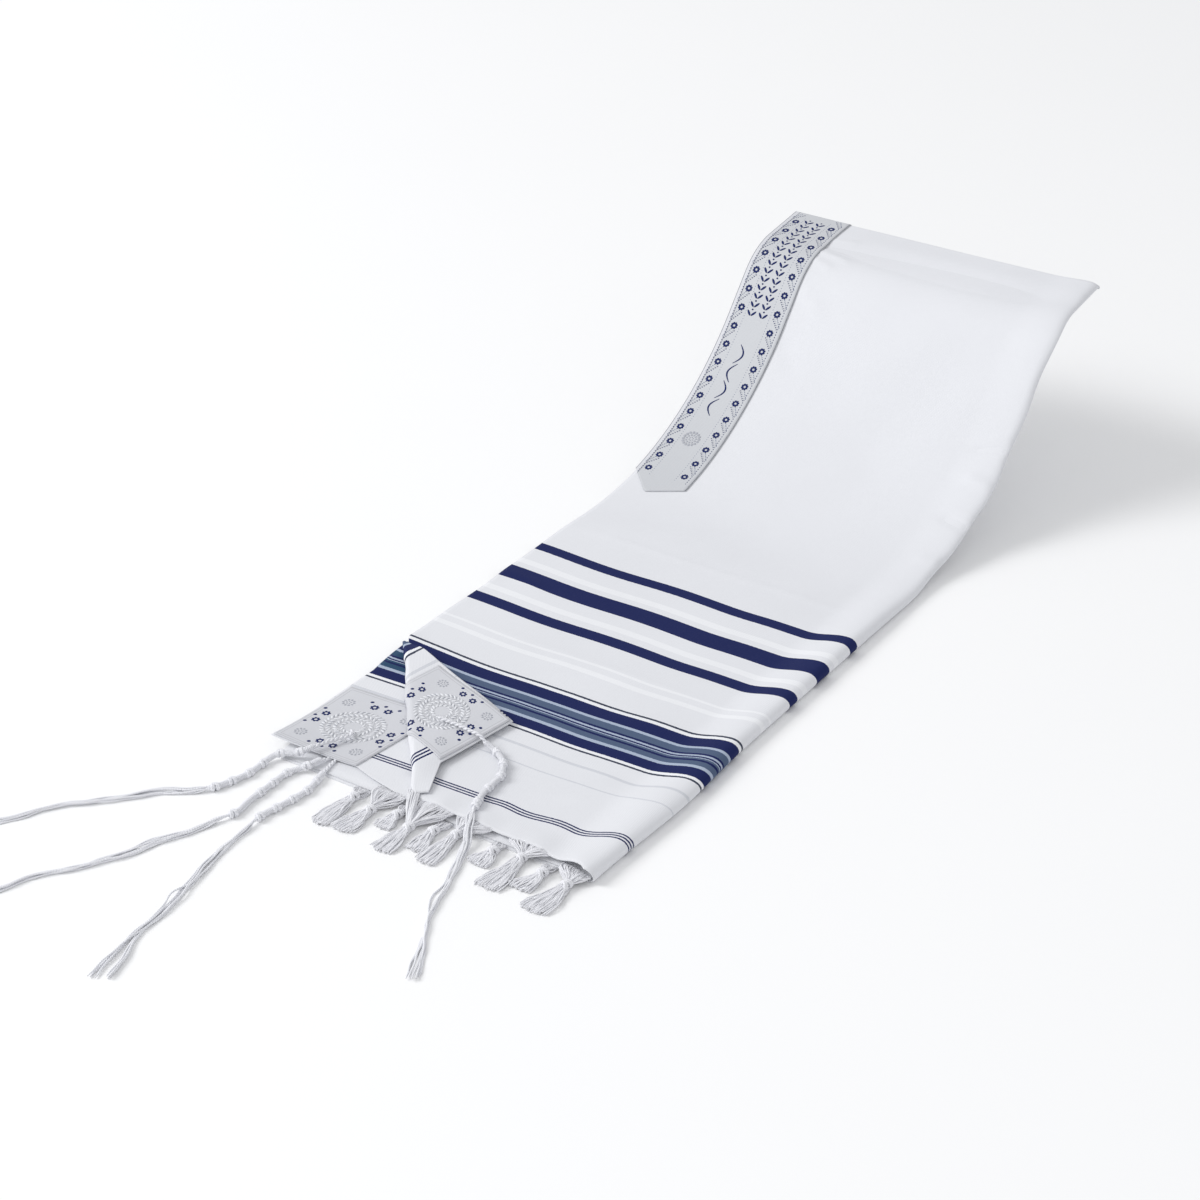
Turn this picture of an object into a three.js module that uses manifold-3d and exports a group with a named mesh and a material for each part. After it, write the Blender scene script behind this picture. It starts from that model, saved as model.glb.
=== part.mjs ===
// A tallit (prayer shawl) folded in four: across its length at the middle of the neckband, then
// lengthwise, with the far end lifted in one long sweep. Millimetres, +Z up, the fringe at -Y, the
// raised end at +Y, the open edges with the neckband at -X and the rolled lengthwise fold at +X.

import * as THREE from 'three';
import { mergeVertices } from 'three/addons/utils/BufferGeometryUtils.js';
import Module from 'manifold-3d';

const wasm = await Module();
wasm.setup();

// Driving dimensions
const clothWall = 1.2; // one ply of cloth
const seamGap = 0.3; // between pieces that touch
const stackHeight = 5.5; // four plies, from the ground to the top surface
const patchWall = 1.0;
const bandWall = 0.8;

// Side profile of the top surface, measured along the cloth from the front hem
const flatLength = 470;
const sweepRadius = 325;
const sweepAngle = THREE.MathUtils.degToRad(49);
const riseLength = 45;
const brinkRadius = 70;
const endAngle = THREE.MathUtils.degToRad(7);
const endLength = 52;
const sweepLength = sweepRadius * sweepAngle;
const brinkLength = brinkRadius * (sweepAngle - endAngle);
const halfLength = flatLength + sweepLength + riseLength + brinkLength + endLength;
const endRound = 3; // reach of the fold at the raised end
const endTurns = [15, 30, 45, 60, 75].map(THREE.MathUtils.degToRad);

// Across the folded strip
const leftEdge = -167.5;
const rightEdge = 167.5;
const rollCentre = 159; // x of the middle of the lengthwise roll
const rollRise = 41; // width over which the cloth climbs to the roll
const rollCrest = 8; // how far the roll stands above the cloth beside it
const rollCrestAtEnd = 3; // and along the raised end
const rollBulge = { reach: 4.5, middle: 100, spread: 65 }; // the roll swells near the front

// The turned-up corner: its fold runs from foldStart on the open edge to foldEnd on the hem
const foldStart = [-167.5, 176];
const foldEnd = [-15, -10];
const turnRadius = 4.6; // of the soft roll along that fold
const turnFloor = 4.5; // underside of that roll
const clipOffset = 5; // the top cloth stops this far inside the fold
const cornerTip = [-8, 118]; // where the shawl's corner lies when it is turned over
const cornerHeel = [-21, 36]; // end of the patch along the turned hem

// Hems, in plan
const topHem = [[-12, -11], [40, -12], [100, -14], [140, -19], [175, -26]];
const secondOutline = [
  [-160.5, -9.5], [-79.5, 0.3], [-62, -5], [-24, -13], [-9, -13], [-160, 171], [-161, 150], [-160, 100],
];
const underHem = -21;
const gridFront = -30; // both long solids are lofted from here, then cut back to their hems

const foldRun = new THREE.Vector2(foldEnd[0] - foldStart[0], foldEnd[1] - foldStart[1]);
const foldLength = foldRun.length();
const foldAlong = foldRun.clone().normalize();
const foldInward = new THREE.Vector2(-foldAlong.y, foldAlong.x);

const smooth = (low, high, value) => THREE.MathUtils.smoothstep(value, low, high);

// ---- solids from rows of points -------------------------------------------------------------

// A wall between an outer and an inner grid of points, closed along all four edges.
function wallSolid(outer, inner) {
  const rows = outer.length;
  const columns = outer[0].length;
  const positions = [...outer.flat(), ...inner.flat()].flat();
  const at = (side, row, column) => side * rows * columns + row * columns + column;
  const index = [];
  const quad = (a, b, c, d) => index.push(a, b, c, a, c, d);
  for (let i = 0; i < rows - 1; i++) {
    for (let j = 0; j < columns - 1; j++) {
      quad(at(0, i, j), at(0, i, j + 1), at(0, i + 1, j + 1), at(0, i + 1, j));
      quad(at(1, i, j), at(1, i + 1, j), at(1, i + 1, j + 1), at(1, i, j + 1));
    }
    quad(at(0, i, 0), at(0, i + 1, 0), at(1, i + 1, 0), at(1, i, 0));
    quad(at(0, i + 1, columns - 1), at(0, i, columns - 1), at(1, i, columns - 1), at(1, i + 1, columns - 1));
  }
  for (let j = 0; j < columns - 1; j++) {
    quad(at(0, 0, j + 1), at(0, 0, j), at(1, 0, j), at(1, 0, j + 1));
    quad(at(0, rows - 1, j), at(0, rows - 1, j + 1), at(1, rows - 1, j + 1), at(1, rows - 1, j));
  }
  return indexed(positions, index);
}

// A solid lofted towards the front through closed loops that run anticlockwise as seen from the
// front, with its two ends filled.
function loopSolid(loops, endOutlines) {
  const count = loops[0].length;
  const index = [];
  for (let i = 0; i < loops.length - 1; i++) {
    for (let j = 0; j < count; j++) {
      const k = (j + 1) % count;
      const [a, b] = [i * count + j, i * count + k];
      index.push(a, b, b + count, a, b + count, a + count);
    }
  }
  const last = (loops.length - 1) * count;
  for (const [a, b, c] of THREE.ShapeUtils.triangulateShape(endOutlines[0], [])) index.push(c, b, a);
  for (const [a, b, c] of THREE.ShapeUtils.triangulateShape(endOutlines[1], [])) {
    index.push(last + a, last + b, last + c);
  }
  return indexed(loops.flat().flat(), index);
}

function indexed(positions, index) {
  const geometry = new THREE.BufferGeometry();
  geometry.setAttribute('position', new THREE.Float32BufferAttribute(positions, 3));
  geometry.setIndex(index);
  return geometry;
}

// ---- cutting ------------------------------------------------------------------------------

function toSolid(geometry) {
  const bare = geometry.clone();
  bare.deleteAttribute('normal');
  bare.deleteAttribute('uv');
  const merged = mergeVertices(bare, 1e-4);
  return new wasm.Manifold(new wasm.Mesh({
    numProp: 3,
    vertProperties: new Float32Array(merged.attributes.position.array),
    triVerts: new Uint32Array(merged.index.array),
  }));
}

function toGeometry(solid) {
  const mesh = solid.getMesh();
  return indexed(Array.from(mesh.vertProperties), Array.from(mesh.triVerts));
}

// An upright block over an outline in plan.
function block(outline, low, high) {
  const shape = new THREE.Shape(outline.map(([x, y]) => new THREE.Vector2(x, y)));
  const geometry = new THREE.ExtrudeGeometry(shape, { depth: high - low, bevelEnabled: false });
  return geometry.translate(0, 0, low);
}

const keepInside = (geometry, outline) => toGeometry(toSolid(geometry).intersect(toSolid(block(outline, -5, 60))));

// ---- the folded strip -----------------------------------------------------------------------

// Place and slope of the top surface at a distance along the cloth.
function profile(along) {
  let rest = along;
  if (rest <= flatLength) return { y: rest, z: stackHeight, angle: 0 };
  rest -= flatLength;
  const sweep = Math.min(rest, sweepLength) / sweepRadius;
  let y = flatLength + sweepRadius * Math.sin(sweep);
  let z = stackHeight + sweepRadius * (1 - Math.cos(sweep));
  let angle = sweep;
  rest -= sweepLength;
  if (rest > 0) {
    const rise = Math.min(rest, riseLength);
    y += rise * Math.cos(sweepAngle);
    z += rise * Math.sin(sweepAngle);
    rest -= riseLength;
  }
  if (rest > 0) {
    angle = sweepAngle - Math.min(rest, brinkLength) / brinkRadius;
    y += brinkRadius * (Math.sin(sweepAngle) - Math.sin(angle));
    z += brinkRadius * (Math.cos(angle) - Math.cos(sweepAngle));
    rest -= brinkLength;
  }
  if (rest > 0) {
    y += rest * Math.cos(endAngle);
    z += rest * Math.sin(endAngle);
  }
  return { y, z, angle };
}

// A point at x, a distance along the cloth, and a height above (or below) its top surface.
function stripPoint(x, along, height, ahead = 0) {
  const { y, z, angle } = profile(along);
  return [
    x,
    y - height * Math.sin(angle) + ahead * Math.cos(angle),
    z + height * Math.cos(angle) + ahead * Math.sin(angle),
  ];
}

const steps = (from, to, count) => Array.from({ length: count }, (_, i) => from + ((to - from) * i) / count);

// Distances along the cloth at which a section is taken, from a front edge to the raised end.
function stations(front) {
  const sweepEnd = flatLength + sweepLength;
  const riseEnd = sweepEnd + riseLength;
  const all = [
    20, 70, 110, 150, 200, 260, 330, 400, ...steps(flatLength, sweepEnd, 12), sweepEnd,
    ...steps(riseEnd, riseEnd + brinkLength, 6), halfLength - endLength, halfLength,
  ];
  return [front, ...all.filter((along) => along > front + 4)];
}

const crestAt = (along) => THREE.MathUtils.lerp(rollCrest, rollCrestAtEnd, smooth(420, 560, along));
const rightEdgeAt = (along) =>
  rightEdge + rollBulge.reach * Math.exp(-(((along - rollBulge.middle) / rollBulge.spread) ** 2));

// The outside of the top ply across the strip: flat, climbing to the roll, round it, to the ground.
function topSection(along) {
  const crest = crestAt(along);
  const points = [leftEdge, -60, 50].map((x) => [x, 0]);
  for (const part of [0, 0.25, 0.5, 0.75]) {
    points.push([rollCentre - rollRise * (1 - part), crest * smooth(0, 1, part)]);
  }
  const middle = (crest - stackHeight) / 2;
  for (let turn = 90; turn >= -90; turn -= 22.5) {
    const angle = THREE.MathUtils.degToRad(turn);
    points.push([
      rollCentre + (rightEdgeAt(along) - rollCentre) * Math.cos(angle),
      middle + ((crest + stackHeight) / 2) * Math.sin(angle),
    ]);
  }
  return points;
}

// The same section moved inwards by a distance.
function inset(section, distance) {
  return section.map(([x, height], i) => {
    const before = section[Math.max(i - 1, 0)];
    const after = section[Math.min(i + 1, section.length - 1)];
    const run = new THREE.Vector2(after[0] - before[0], after[1] - before[1]).normalize();
    return [x + run.y * distance, height - run.x * distance];
  });
}

// Rows of a section along the strip, then rows that close round the fold at the raised end.
function stripRows(front, sectionAt, reach, middle) {
  const rows = stations(front).map((along) =>
    sectionAt(along).map(([x, height]) => stripPoint(x, along, height)));
  for (const turn of endTurns) {
    rows.push(sectionAt(halfLength).map(([x, height]) =>
      stripPoint(x, halfLength, middle + (height - middle) * Math.cos(turn), reach * Math.sin(turn))));
  }
  return rows;
}

const foldPoint = (part, inward) => [
  foldStart[0] + foldRun.x * part + foldInward.x * inward,
  foldStart[1] + foldRun.y * part + foldInward.y * inward,
];

function clothTop() {
  const middle = -stackHeight / 2;
  const outer = stripRows(gridFront, topSection, endRound, middle);
  const innerSection = (along) => inset(topSection(along), clothWall);
  const inner = stripRows(gridFront, innerSection, endRound - clothWall, middle);
  const beyond = [foldPoint(-0.2, clipOffset), foldPoint(1.3, clipOffset), [-230, -120], [-230, 200]];
  const hemWaste = [...topHem, [190, -26], [190, -60], [-80, -60], [-80, -11]];
  const solid = toSolid(wallSolid(outer, inner));
  return toGeometry(solid.subtract(toSolid(block(beyond, -5, 60))).subtract(toSolid(block(hemWaste, -5, 60))));
}

// The three plies under the top one, as one solid with its leaves parted along the open edge.
function underSection(along) {
  const topLine = inset(topSection(along), clothWall + seamGap);
  const tuck = 25 * Math.pow(THREE.MathUtils.clamp((190 - along) / 211, 0, 1), 1.3);
  const left = leftEdge + tuck;
  const leaves = [
    [1, -5.5], [0.9, -4.5], [3.9, -4.2], [1.7, -4.0], [1.7, -3.1], [3.7, -2.9], [0.5, -2.6], [0.5, -1.5],
  ].map(([x, height]) => [left + x, height]);
  const across = topLine.slice(1);
  return [...leaves, ...across, [rollCentre - 4, -stackHeight], [0, -stackHeight]];
}

function clothUnder() {
  const middle = -stackHeight / 2;
  const loops = stripRows(gridFront, underSection, 1.4, middle).map((row) => row.reverse()).reverse();
  const outline = (section) => section.reverse().map(([x, height]) => new THREE.Vector2(x, height));
  const tucked = underSection(halfLength).map(([x, height]) =>
    [x, middle + (height - middle) * Math.cos(endTurns.at(-1))]);
  const solid = toSolid(loopSolid(loops, [outline(tucked), outline(underSection(gridFront))]));
  const corner = [foldPoint(-0.1, 4.7), foldPoint(1.02, 4.7), [0, -60], [-230, -60], [-230, 180]];
  const before = (y) => [[-190, y], [-190, -60], [190, -60], [190, y]];
  const waste = [
    block(corner, 2.7, 60), block(before(-8), 2.7, 60), block(before(-18.5), 1.3, 60), block(before(underHem), -5, 60),
  ];
  return toGeometry(waste.reduce((left, piece) => left.subtract(toSolid(piece)), solid));
}

// ---- the second ply where the turned corner leaves it bare -----------------------------------

const secondLift = ([x, y]) => 7 * Math.max(0, 1 - Math.hypot(x + 160, y + 9) / 100) ** 2;
const secondTop = stackHeight - clothWall - 0.1;

function secondLayer(low, high, outline) {
  const across = [-170, ...steps(-160, -60, 8), -60, -20, 5];
  const along = [-18, ...steps(-8, 100, 8), 100, 140, 180];
  const sheet = (height) => along.map((y) => across.map((x) => [x, y, secondTop + height + secondLift([x, y])]));
  return keepInside(wallSolid(sheet(high), sheet(low)), outline);
}

// ---- the turned-up corner -------------------------------------------------------------------

const turnRadiusAt = (part) => THREE.MathUtils.lerp(1.6, turnRadius, smooth(0, 0.14, part));
const partOf = ([x, y]) => ((x - foldStart[0]) * foldAlong.x + (y - foldStart[1]) * foldAlong.y) / foldLength;
const inwardOf = ([x, y]) => (x - foldStart[0]) * foldInward.x + (y - foldStart[1]) * foldInward.y;
const tipPart = partOf(cornerTip);
const heelPart = partOf(cornerHeel);

// How far the flap reaches in from the fold, and how high its edge lies, at a part of the fold.
function flapReach(part) {
  const tip = inwardOf(cornerTip);
  const heel = inwardOf(cornerHeel);
  if (part < tipPart) return THREE.MathUtils.lerp(0, tip, part / tipPart);
  if (part < heelPart) return THREE.MathUtils.lerp(tip, heel, (part - tipPart) / (heelPart - tipPart));
  return THREE.MathUtils.lerp(heel, 13, (part - heelPart) / (1 - heelPart));
}

function flapEdgeHeight(part) {
  if (part < tipPart) return THREE.MathUtils.lerp(15, 10.5, part / tipPart);
  if (part < heelPart) return THREE.MathUtils.lerp(10.5, 9, (part - tipPart) / (heelPart - tipPart));
  return THREE.MathUtils.lerp(9, 9.5, (part - heelPart) / (1 - heelPart));
}

// A line across the turned corner, from under its roll, round it and in along the flap.
function turnLine(part, lift, fromAngle, toReach) {
  const radius = turnRadiusAt(part);
  const reach = Math.max(flapReach(part) + toReach, radius + 3);
  const crown = turnFloor + 2 * radius;
  const line = [];
  for (let turn = fromAngle; turn >= 90; turn -= 22.5) {
    const angle = THREE.MathUtils.degToRad(turn);
    line.push([
      radius + (radius + lift) * Math.cos(angle),
      turnFloor + radius + (radius + lift) * Math.sin(angle),
    ]);
  }
  for (const step of [0.12, 0.3, 0.5, 0.75, 1]) {
    const inward = radius + (reach - radius) * step;
    const fall = smooth(0, 1, step * 0.9);
    const edge = Math.min(flapEdgeHeight(part), crown + 1);
    line.push([inward, THREE.MathUtils.lerp(crown, edge, fall) + lift]);
  }
  return line.map(([inward, z]) => [...foldPoint(part, inward), z]);
}

// Parts of the fold where a line is taken, from the hem to the open edge.
const foldParts = [1, 0.92, heelPart, 0.76, 0.68, tipPart, 0.55, 0.48, 0.4, 0.32, 0.24, 0.16, 0.1, 0.05, 0];

function turnedCorner() {
  const solid = wallSolid(
    foldParts.map((part) => turnLine(part, 0, 270, 6)),
    foldParts.map((part) => turnLine(part, -clothWall, 270, 6)),
  );
  const outline = [
    foldPoint(-0.05, -12), foldPoint(1.05, -12), foldPoint(1.05, 12), foldPoint(0.93, 14),
    cornerHeel, cornerTip, foldPoint(0.02, 4), foldPoint(-0.05, 3),
  ];
  return keepInside(solid, outline);
}

function turnedPatch() {
  const parts = [0.9, heelPart, 0.76, 0.68, tipPart, 0.55, 0.48, 0.4, 0.32, 0.26, 0.2, 0.16, 0.12];
  const solid = wallSolid(
    parts.map((part) => turnLine(part, seamGap + patchWall, 157.5, 5)),
    parts.map((part) => turnLine(part, seamGap, 157.5, 5)),
  );
  const outline = [
    foldPoint(0.277, -8), foldPoint(0.70, -8), foldPoint(0.70, 1), [cornerHeel[0] - 1.5, cornerHeel[1] + 1.2],
    [cornerTip[0] - 2, cornerTip[1] - 1], foldPoint(0.2, 23), foldPoint(0.19, 20), foldPoint(0.277, 1),
  ];
  return keepInside(solid, outline);
}

// ---- the neckband -----------------------------------------------------------------------------

const bandEdges = [leftEdge + 0.2, -104];
const bandEnd = [[-170, 549], [-140, 519], [-104, 537]]; // turned-under point of its lower end, as x and length

function neckband() {
  const section = (height) => () => bandEdges.map((x) => [x, height]);
  const middle = -stackHeight / 2;
  const front = 500;
  const outer = stripRows(front, section(seamGap + bandWall), endRound + seamGap + bandWall, middle);
  const inner = stripRows(front, section(seamGap), endRound + seamGap, middle);
  const waste = bandEnd.map(([x, along]) => [x, profile(along).y]);
  const outline = [...waste, [-95, 545], [-95, 480], [-190, 480]];
  return toGeometry(toSolid(wallSolid(outer, inner)).subtract(toSolid(block(outline, -5, 60))));
}

// ---- fringe -------------------------------------------------------------------------------------

// Each tassel hangs from a hem: x and y of its root, its knot and its end, the width of its root and
// of its end, and the height of its root.
const tassels = [
  { name: 'upper_1', root: [-33, -15], knot: [-33, -43], end: [-38, -75], rootWidth: 30, endWidth: 19, high: 3.9 },
  { name: 'upper_2', root: [10, -13], knot: [7, -45], end: [5, -79], rootWidth: 36, endWidth: 17, high: 4.4 },
  { name: 'upper_3', root: [48, -14], knot: [44, -32], end: [43, -73], rootWidth: 34, endWidth: 17, high: 4.4 },
  { name: 'upper_4', root: [102, -17], knot: [104, -29], end: [101, -73], rootWidth: 40, endWidth: 22, high: 4.4 },
  { name: 'upper_5', root: [149, -26], knot: [152, -38], end: [147, -77], rootWidth: 30, endWidth: 23, high: 4.4 },
  { name: 'lower_1', root: [-56, -22.5], knot: [-55, -36], end: [-58, -77], rootWidth: 14, endWidth: 15, high: 1.8 },
  { name: 'lower_2', root: [-12, -22.5], knot: [-11, -36], end: [-13, -54], rootWidth: 10, endWidth: 15, high: 1.8 },
  { name: 'lower_3', root: [26, -22.5], knot: [26, -38], end: [26, -64], rootWidth: 10, endWidth: 15, high: 1.8 },
  { name: 'lower_4', root: [78, -22.5], knot: [80, -34], end: [78, -52], rootWidth: 10, endWidth: 18, high: 1.8 },
  { name: 'lower_5', root: [127, -24.5], knot: [128, -36], end: [123, -60], rootWidth: 10, endWidth: 19, high: 1.8 },
];

function tassel({ root, knot, end, rootWidth, endWidth, high }) {
  const knotWidth = 8;
  const between = (a, b, part) => [a[0] + (b[0] - a[0]) * part, a[1] + (b[1] - a[1]) * part];
  const sections = [
    { at: root, width: rootWidth, z: high, thick: 1.6 },
    { at: between(root, knot, 0.45), width: rootWidth * 0.55 + 2, z: high * 0.85 + 0.4, thick: 2.2 },
    { at: between(root, knot, 0.8), width: knotWidth * 0.75, z: 3.2, thick: 4 },
    { at: knot, width: knotWidth, z: 3.5, thick: 6.6 },
    { at: between(knot, end, 0.12), width: knotWidth * 0.8, z: 3.1, thick: 5.4 },
    { at: between(knot, end, 0.4), width: endWidth * 0.75, z: 2.8, thick: 5 },
    { at: end, width: endWidth, z: 2.2, thick: 3.8 },
  ];
  const sides = 10;
  const loops = sections.map(({ at, width, z, thick }) => Array.from({ length: sides }, (_, i) => {
    const angle = (i * 2 * Math.PI) / sides;
    return [at[0] + (width / 2) * Math.cos(angle), at[1], z + (thick / 2) * Math.sin(angle)];
  }));
  const face = loops[0].map(([x, , z]) => new THREE.Vector2(x, z));
  return loopSolid(loops, [face, face]);
}

// ---- tzitzit ------------------------------------------------------------------------------------

// The knotted corner cords, each a 6 mm tube along points that run from its corner to its free end.
const cordRadius = 3;
const cordRoutes = {
  tzitzit_1: [
    [-107, 26.4, 10.2], [-111, 17, 10.8], [-115.5, 5, 11.6], [-120, -8, 12], [-125.5, -14.5, 9.6],
    [-134, -18.5, 7.2], [-142, -22, 6], [-146, -30, 4.2], [-146.6, -41, 3.3], [-147, -57, 3.3],
    [-151, -71, 3.3], [-156, -84, 3.3], [-167, -97, 3.3], [-182, -107, 3.3], [-194, -117, 3.3],
    [-204, -131, 3.3], [-215, -144, 3.3], [-227, -157, 3.3], [-240, -169, 3.3], [-250, -183, 3.3],
    [-257, -198, 3.3], [-266, -212, 3.3], [-278, -223, 3.3],
  ],
  tzitzit_2: [
    [-108.5, -13, 6.6], [-111, -21, 6], [-117, -28, 3.6], [-121.5, -38, 3.3], [-121.5, -53, 3.3],
    [-121.4, -70, 3.3], [-121, -86, 3.3], [-119, -101, 3.3], [-124, -115, 3.3], [-128.7, -129, 3.3],
    [-133.5, -143, 3.3], [-140, -155, 3.3], [-146.8, -167, 3.3], [-150.7, -181, 3.3], [-156, -194, 3.3],
    [-162, -206, 3.3], [-169, -220, 3.3], [-178, -233, 3.3], [-188, -245, 3.3], [-196, -259, 3.3],
    [-201, -275, 3.3], [-209, -289, 3.3],
  ],
  tzitzit_3: [
    [-96, -24.6, 3.5], [-94, -35, 3.3], [-92, -46, 3.3], [-93.2, -61, 3.3], [-96.5, -79, 3.3],
    [-99.8, -97, 3.3], [-98.4, -115, 3.3], [-97, -135, 3.3], [-94.5, -153, 3.3], [-92, -171, 3.3],
    [-88, -190, 3.3], [-84, -209, 3.3], [-81.5, -227, 3.3], [-80, -246, 3.3], [-78.3, -265, 3.3],
    [-74, -282, 3.3], [-70, -299, 3.3], [-66, -318, 3.3],
  ],
  tzitzit_4: [
    [-55, 79.2, 17.8], [-40, 80, 17], [-27, 79.6, 16.4], [-14, 79, 15.6], [-6, 77.6, 11.4],
    [4, 75.4, 9.1], [15, 69.5, 9], [23.5, 60, 9], [29.5, 48, 9], [31, 34, 9], [32, 22, 9],
    [36, 7, 9], [43, -10, 9], [50, -23, 8.4], [57, -36, 6], [62.6, -51, 3.6], [69, -70, 3.3],
    [76, -89, 3.3], [81.5, -106, 3.3], [88, -124, 3.3], [97, -141, 3.3], [106, -157, 3.3],
    [115, -173, 3.3], [125, -191, 3.3],
  ],
};

function cordTube(points) {
  const route = new THREE.CatmullRomCurve3(points.map((point) => new THREE.Vector3(...point)), false, 'centripetal');
  const section = new THREE.Shape();
  const sides = 8;
  for (let i = 0; i < sides; i++) {
    const angle = ((i + 0.5) * 2 * Math.PI) / sides;
    const place = [cordRadius * Math.cos(angle), cordRadius * Math.sin(angle)];
    if (i === 0) section.moveTo(...place);
    else section.lineTo(...place);
  }
  return new THREE.ExtrudeGeometry(section, { steps: points.length, extrudePath: route, bevelEnabled: false });
}

// ---- the group ----------------------------------------------------------------------------------

const finishes = {
  cloth: { color: 0xe4e5ea, roughness: 0.92, metalness: 0 },
  band: { color: 0xcdd5de, roughness: 0.6, metalness: 0 },
  patch: { color: 0xe2e4e8, roughness: 0.65, metalness: 0 },
  yarn: { color: 0xe6e6ea, roughness: 0.95, metalness: 0 },
};

const shawl = new THREE.Group();

function add(name, geometry, finish) {
  const mesh = new THREE.Mesh(geometry, new THREE.MeshStandardMaterial(finishes[finish]));
  mesh.name = name;
  shawl.add(mesh);
}

const secondPatchOutline = [
  [-159.3, -8.4], [-80.5, 1.4], [-76.5, 60], foldPoint(0.59, 1), foldPoint(0.398, 1), [-158.8, 97],
];

add('cloth_under_layers', clothUnder(), 'cloth');
add('cloth_second_layer', secondLayer(-clothWall, 0, secondOutline), 'cloth');
add('cloth_top', clothTop(), 'cloth');
add('cloth_turned_corner', turnedCorner(), 'cloth');
add('neckband', neckband(), 'band');
add('corner_patch_second', secondLayer(seamGap, seamGap + patchWall, secondPatchOutline), 'patch');
add('corner_patch_turned', turnedPatch(), 'patch');
for (const entry of tassels) add(`fringe_${entry.name}`, tassel(entry), 'yarn');

// The origin is the middle of the base of everything but the loose cords.
const body = new THREE.Box3().setFromObject(shawl);
const middle = body.getCenter(new THREE.Vector3());
for (const [name, points] of Object.entries(cordRoutes)) add(name, cordTube(points), 'yarn');
shawl.position.set(-middle.x, -middle.y, -body.min.z);

export default shawl;
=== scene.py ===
# Folded prayer shawl: striped wool with a raised far end, neckband, corner patches, fringe and corner cords.
import math
import random

import bpy
import numpy as np
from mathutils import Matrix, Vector


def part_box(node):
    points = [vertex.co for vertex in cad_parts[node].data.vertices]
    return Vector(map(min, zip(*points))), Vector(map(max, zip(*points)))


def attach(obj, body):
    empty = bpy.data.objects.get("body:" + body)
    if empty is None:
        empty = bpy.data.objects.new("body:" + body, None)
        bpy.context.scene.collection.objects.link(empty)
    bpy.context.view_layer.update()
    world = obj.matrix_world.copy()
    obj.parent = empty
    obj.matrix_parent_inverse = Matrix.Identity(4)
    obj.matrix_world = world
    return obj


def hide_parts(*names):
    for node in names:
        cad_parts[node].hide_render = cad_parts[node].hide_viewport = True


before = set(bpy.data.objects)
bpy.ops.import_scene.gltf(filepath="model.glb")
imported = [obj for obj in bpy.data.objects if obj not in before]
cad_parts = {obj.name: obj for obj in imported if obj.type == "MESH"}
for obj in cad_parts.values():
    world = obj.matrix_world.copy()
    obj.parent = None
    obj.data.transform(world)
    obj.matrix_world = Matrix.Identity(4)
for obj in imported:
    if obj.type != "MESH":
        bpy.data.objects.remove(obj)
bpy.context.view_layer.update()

mm = 0.001

# The shawl is laid out in millimetres: x across, y from the fringe to the far end. Two pieces give its place.
edgeReach = {"cloth_second_layer": 161, "cloth_under_layers": 21}
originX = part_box("cloth_second_layer")[0].x + edgeReach["cloth_second_layer"] * mm
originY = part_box("cloth_under_layers")[0].y + edgeReach["cloth_under_layers"] * mm


def placed(point):
    return (point[0] * mm + originX, point[1] * mm + originY, point[2] * mm)


def smooth(low, high, value):
    t = min(max((value - low) / (high - low), 0), 1)
    return t * t * (3 - 2 * t)


def mix(a, b, part):
    return a + (b - a) * part


def along(table, value, straight=False):  # height in a table of (place, height) rows, eased or straight
    for (x0, h0), (x1, h1) in zip(table, table[1:]):
        if value <= x1:
            part = min(max((value - x0) / (x1 - x0), 0), 1)
            return mix(h0, h1, part if straight else smooth(0, 1, part))
    return table[-1][1]


view = {
    "eye": (1085.1, -1379.9, 1207.4),
    "heading": 33.9,
    "tilt": 30.26,
    "lens": 79.95,
    "floor": 14,
    "sky": (0.97, 0.98, 1, 1),
    "world": 0.68,
    "key": {"at": (-4.7, -2.9, 4.3), "size": 3.2, "watts": 268},
    "fill": {"at": (1.8, -2.9, 2.1), "size": 3, "watts": 10},
}


def makeStage():
    camera = bpy.data.objects.new("camera", bpy.data.cameras.new("camera"))
    bpy.context.scene.collection.objects.link(camera)
    camera.location = placed(view["eye"])
    camera.rotation_euler = (math.radians(90 - view["tilt"]), 0, math.radians(view["heading"]))
    camera.data.lens = view["lens"]
    camera.data.sensor_width = 36
    camera.data.clip_end = 60
    bpy.context.scene.camera = camera
    bpy.ops.mesh.primitive_plane_add(size=view["floor"], location=(0, 0, 0))
    floor = bpy.context.object
    floor.name = "floor"
    floor.data.materials.append(floorMaterial())
    for name in ("key", "fill"):
        light = bpy.data.objects.new(name, bpy.data.lights.new(name, "AREA"))
        light.data.size = view[name]["size"]
        light.data.energy = view[name]["watts"]
        light.location = view[name]["at"]
        light.rotation_euler = (-Vector(view[name]["at"])).to_track_quat("-Z", "Y").to_euler()
        bpy.context.scene.collection.objects.link(light)
    world = bpy.context.scene.world or bpy.data.worlds.new("studio")
    bpy.context.scene.world = world
    world.use_nodes = True
    world.node_tree.nodes["Background"].inputs["Color"].default_value = view["sky"]
    world.node_tree.nodes["Background"].inputs["Strength"].default_value = view["world"]
    bpy.context.scene.view_settings.view_transform = "Standard"
    print("camera, floor and lights made")


def colour(red, green, blue):
    def linear(value):
        value /= 255
        return value / 12.92 if value <= 0.04045 else ((value + 0.055) / 1.055) ** 2.4
    return (linear(red), linear(green), linear(blue), 1)


palette = {
    "white": colour(233, 234, 238),
    "bright": colour(242, 243, 246),
    "navy": colour(20, 32, 86),
    "steel": colour(82, 98, 126),
    # the steel stripes of the under layers, painted darker: painted shade
    "steel_shaded": colour(44, 76, 106),
    "pale": colour(174, 186, 206),
    "charcoal": colour(62, 68, 86),
    "grey": colour(214, 216, 222),
    "silver": colour(203, 205, 209),
    "satin": colour(215, 216, 221),
}


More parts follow.
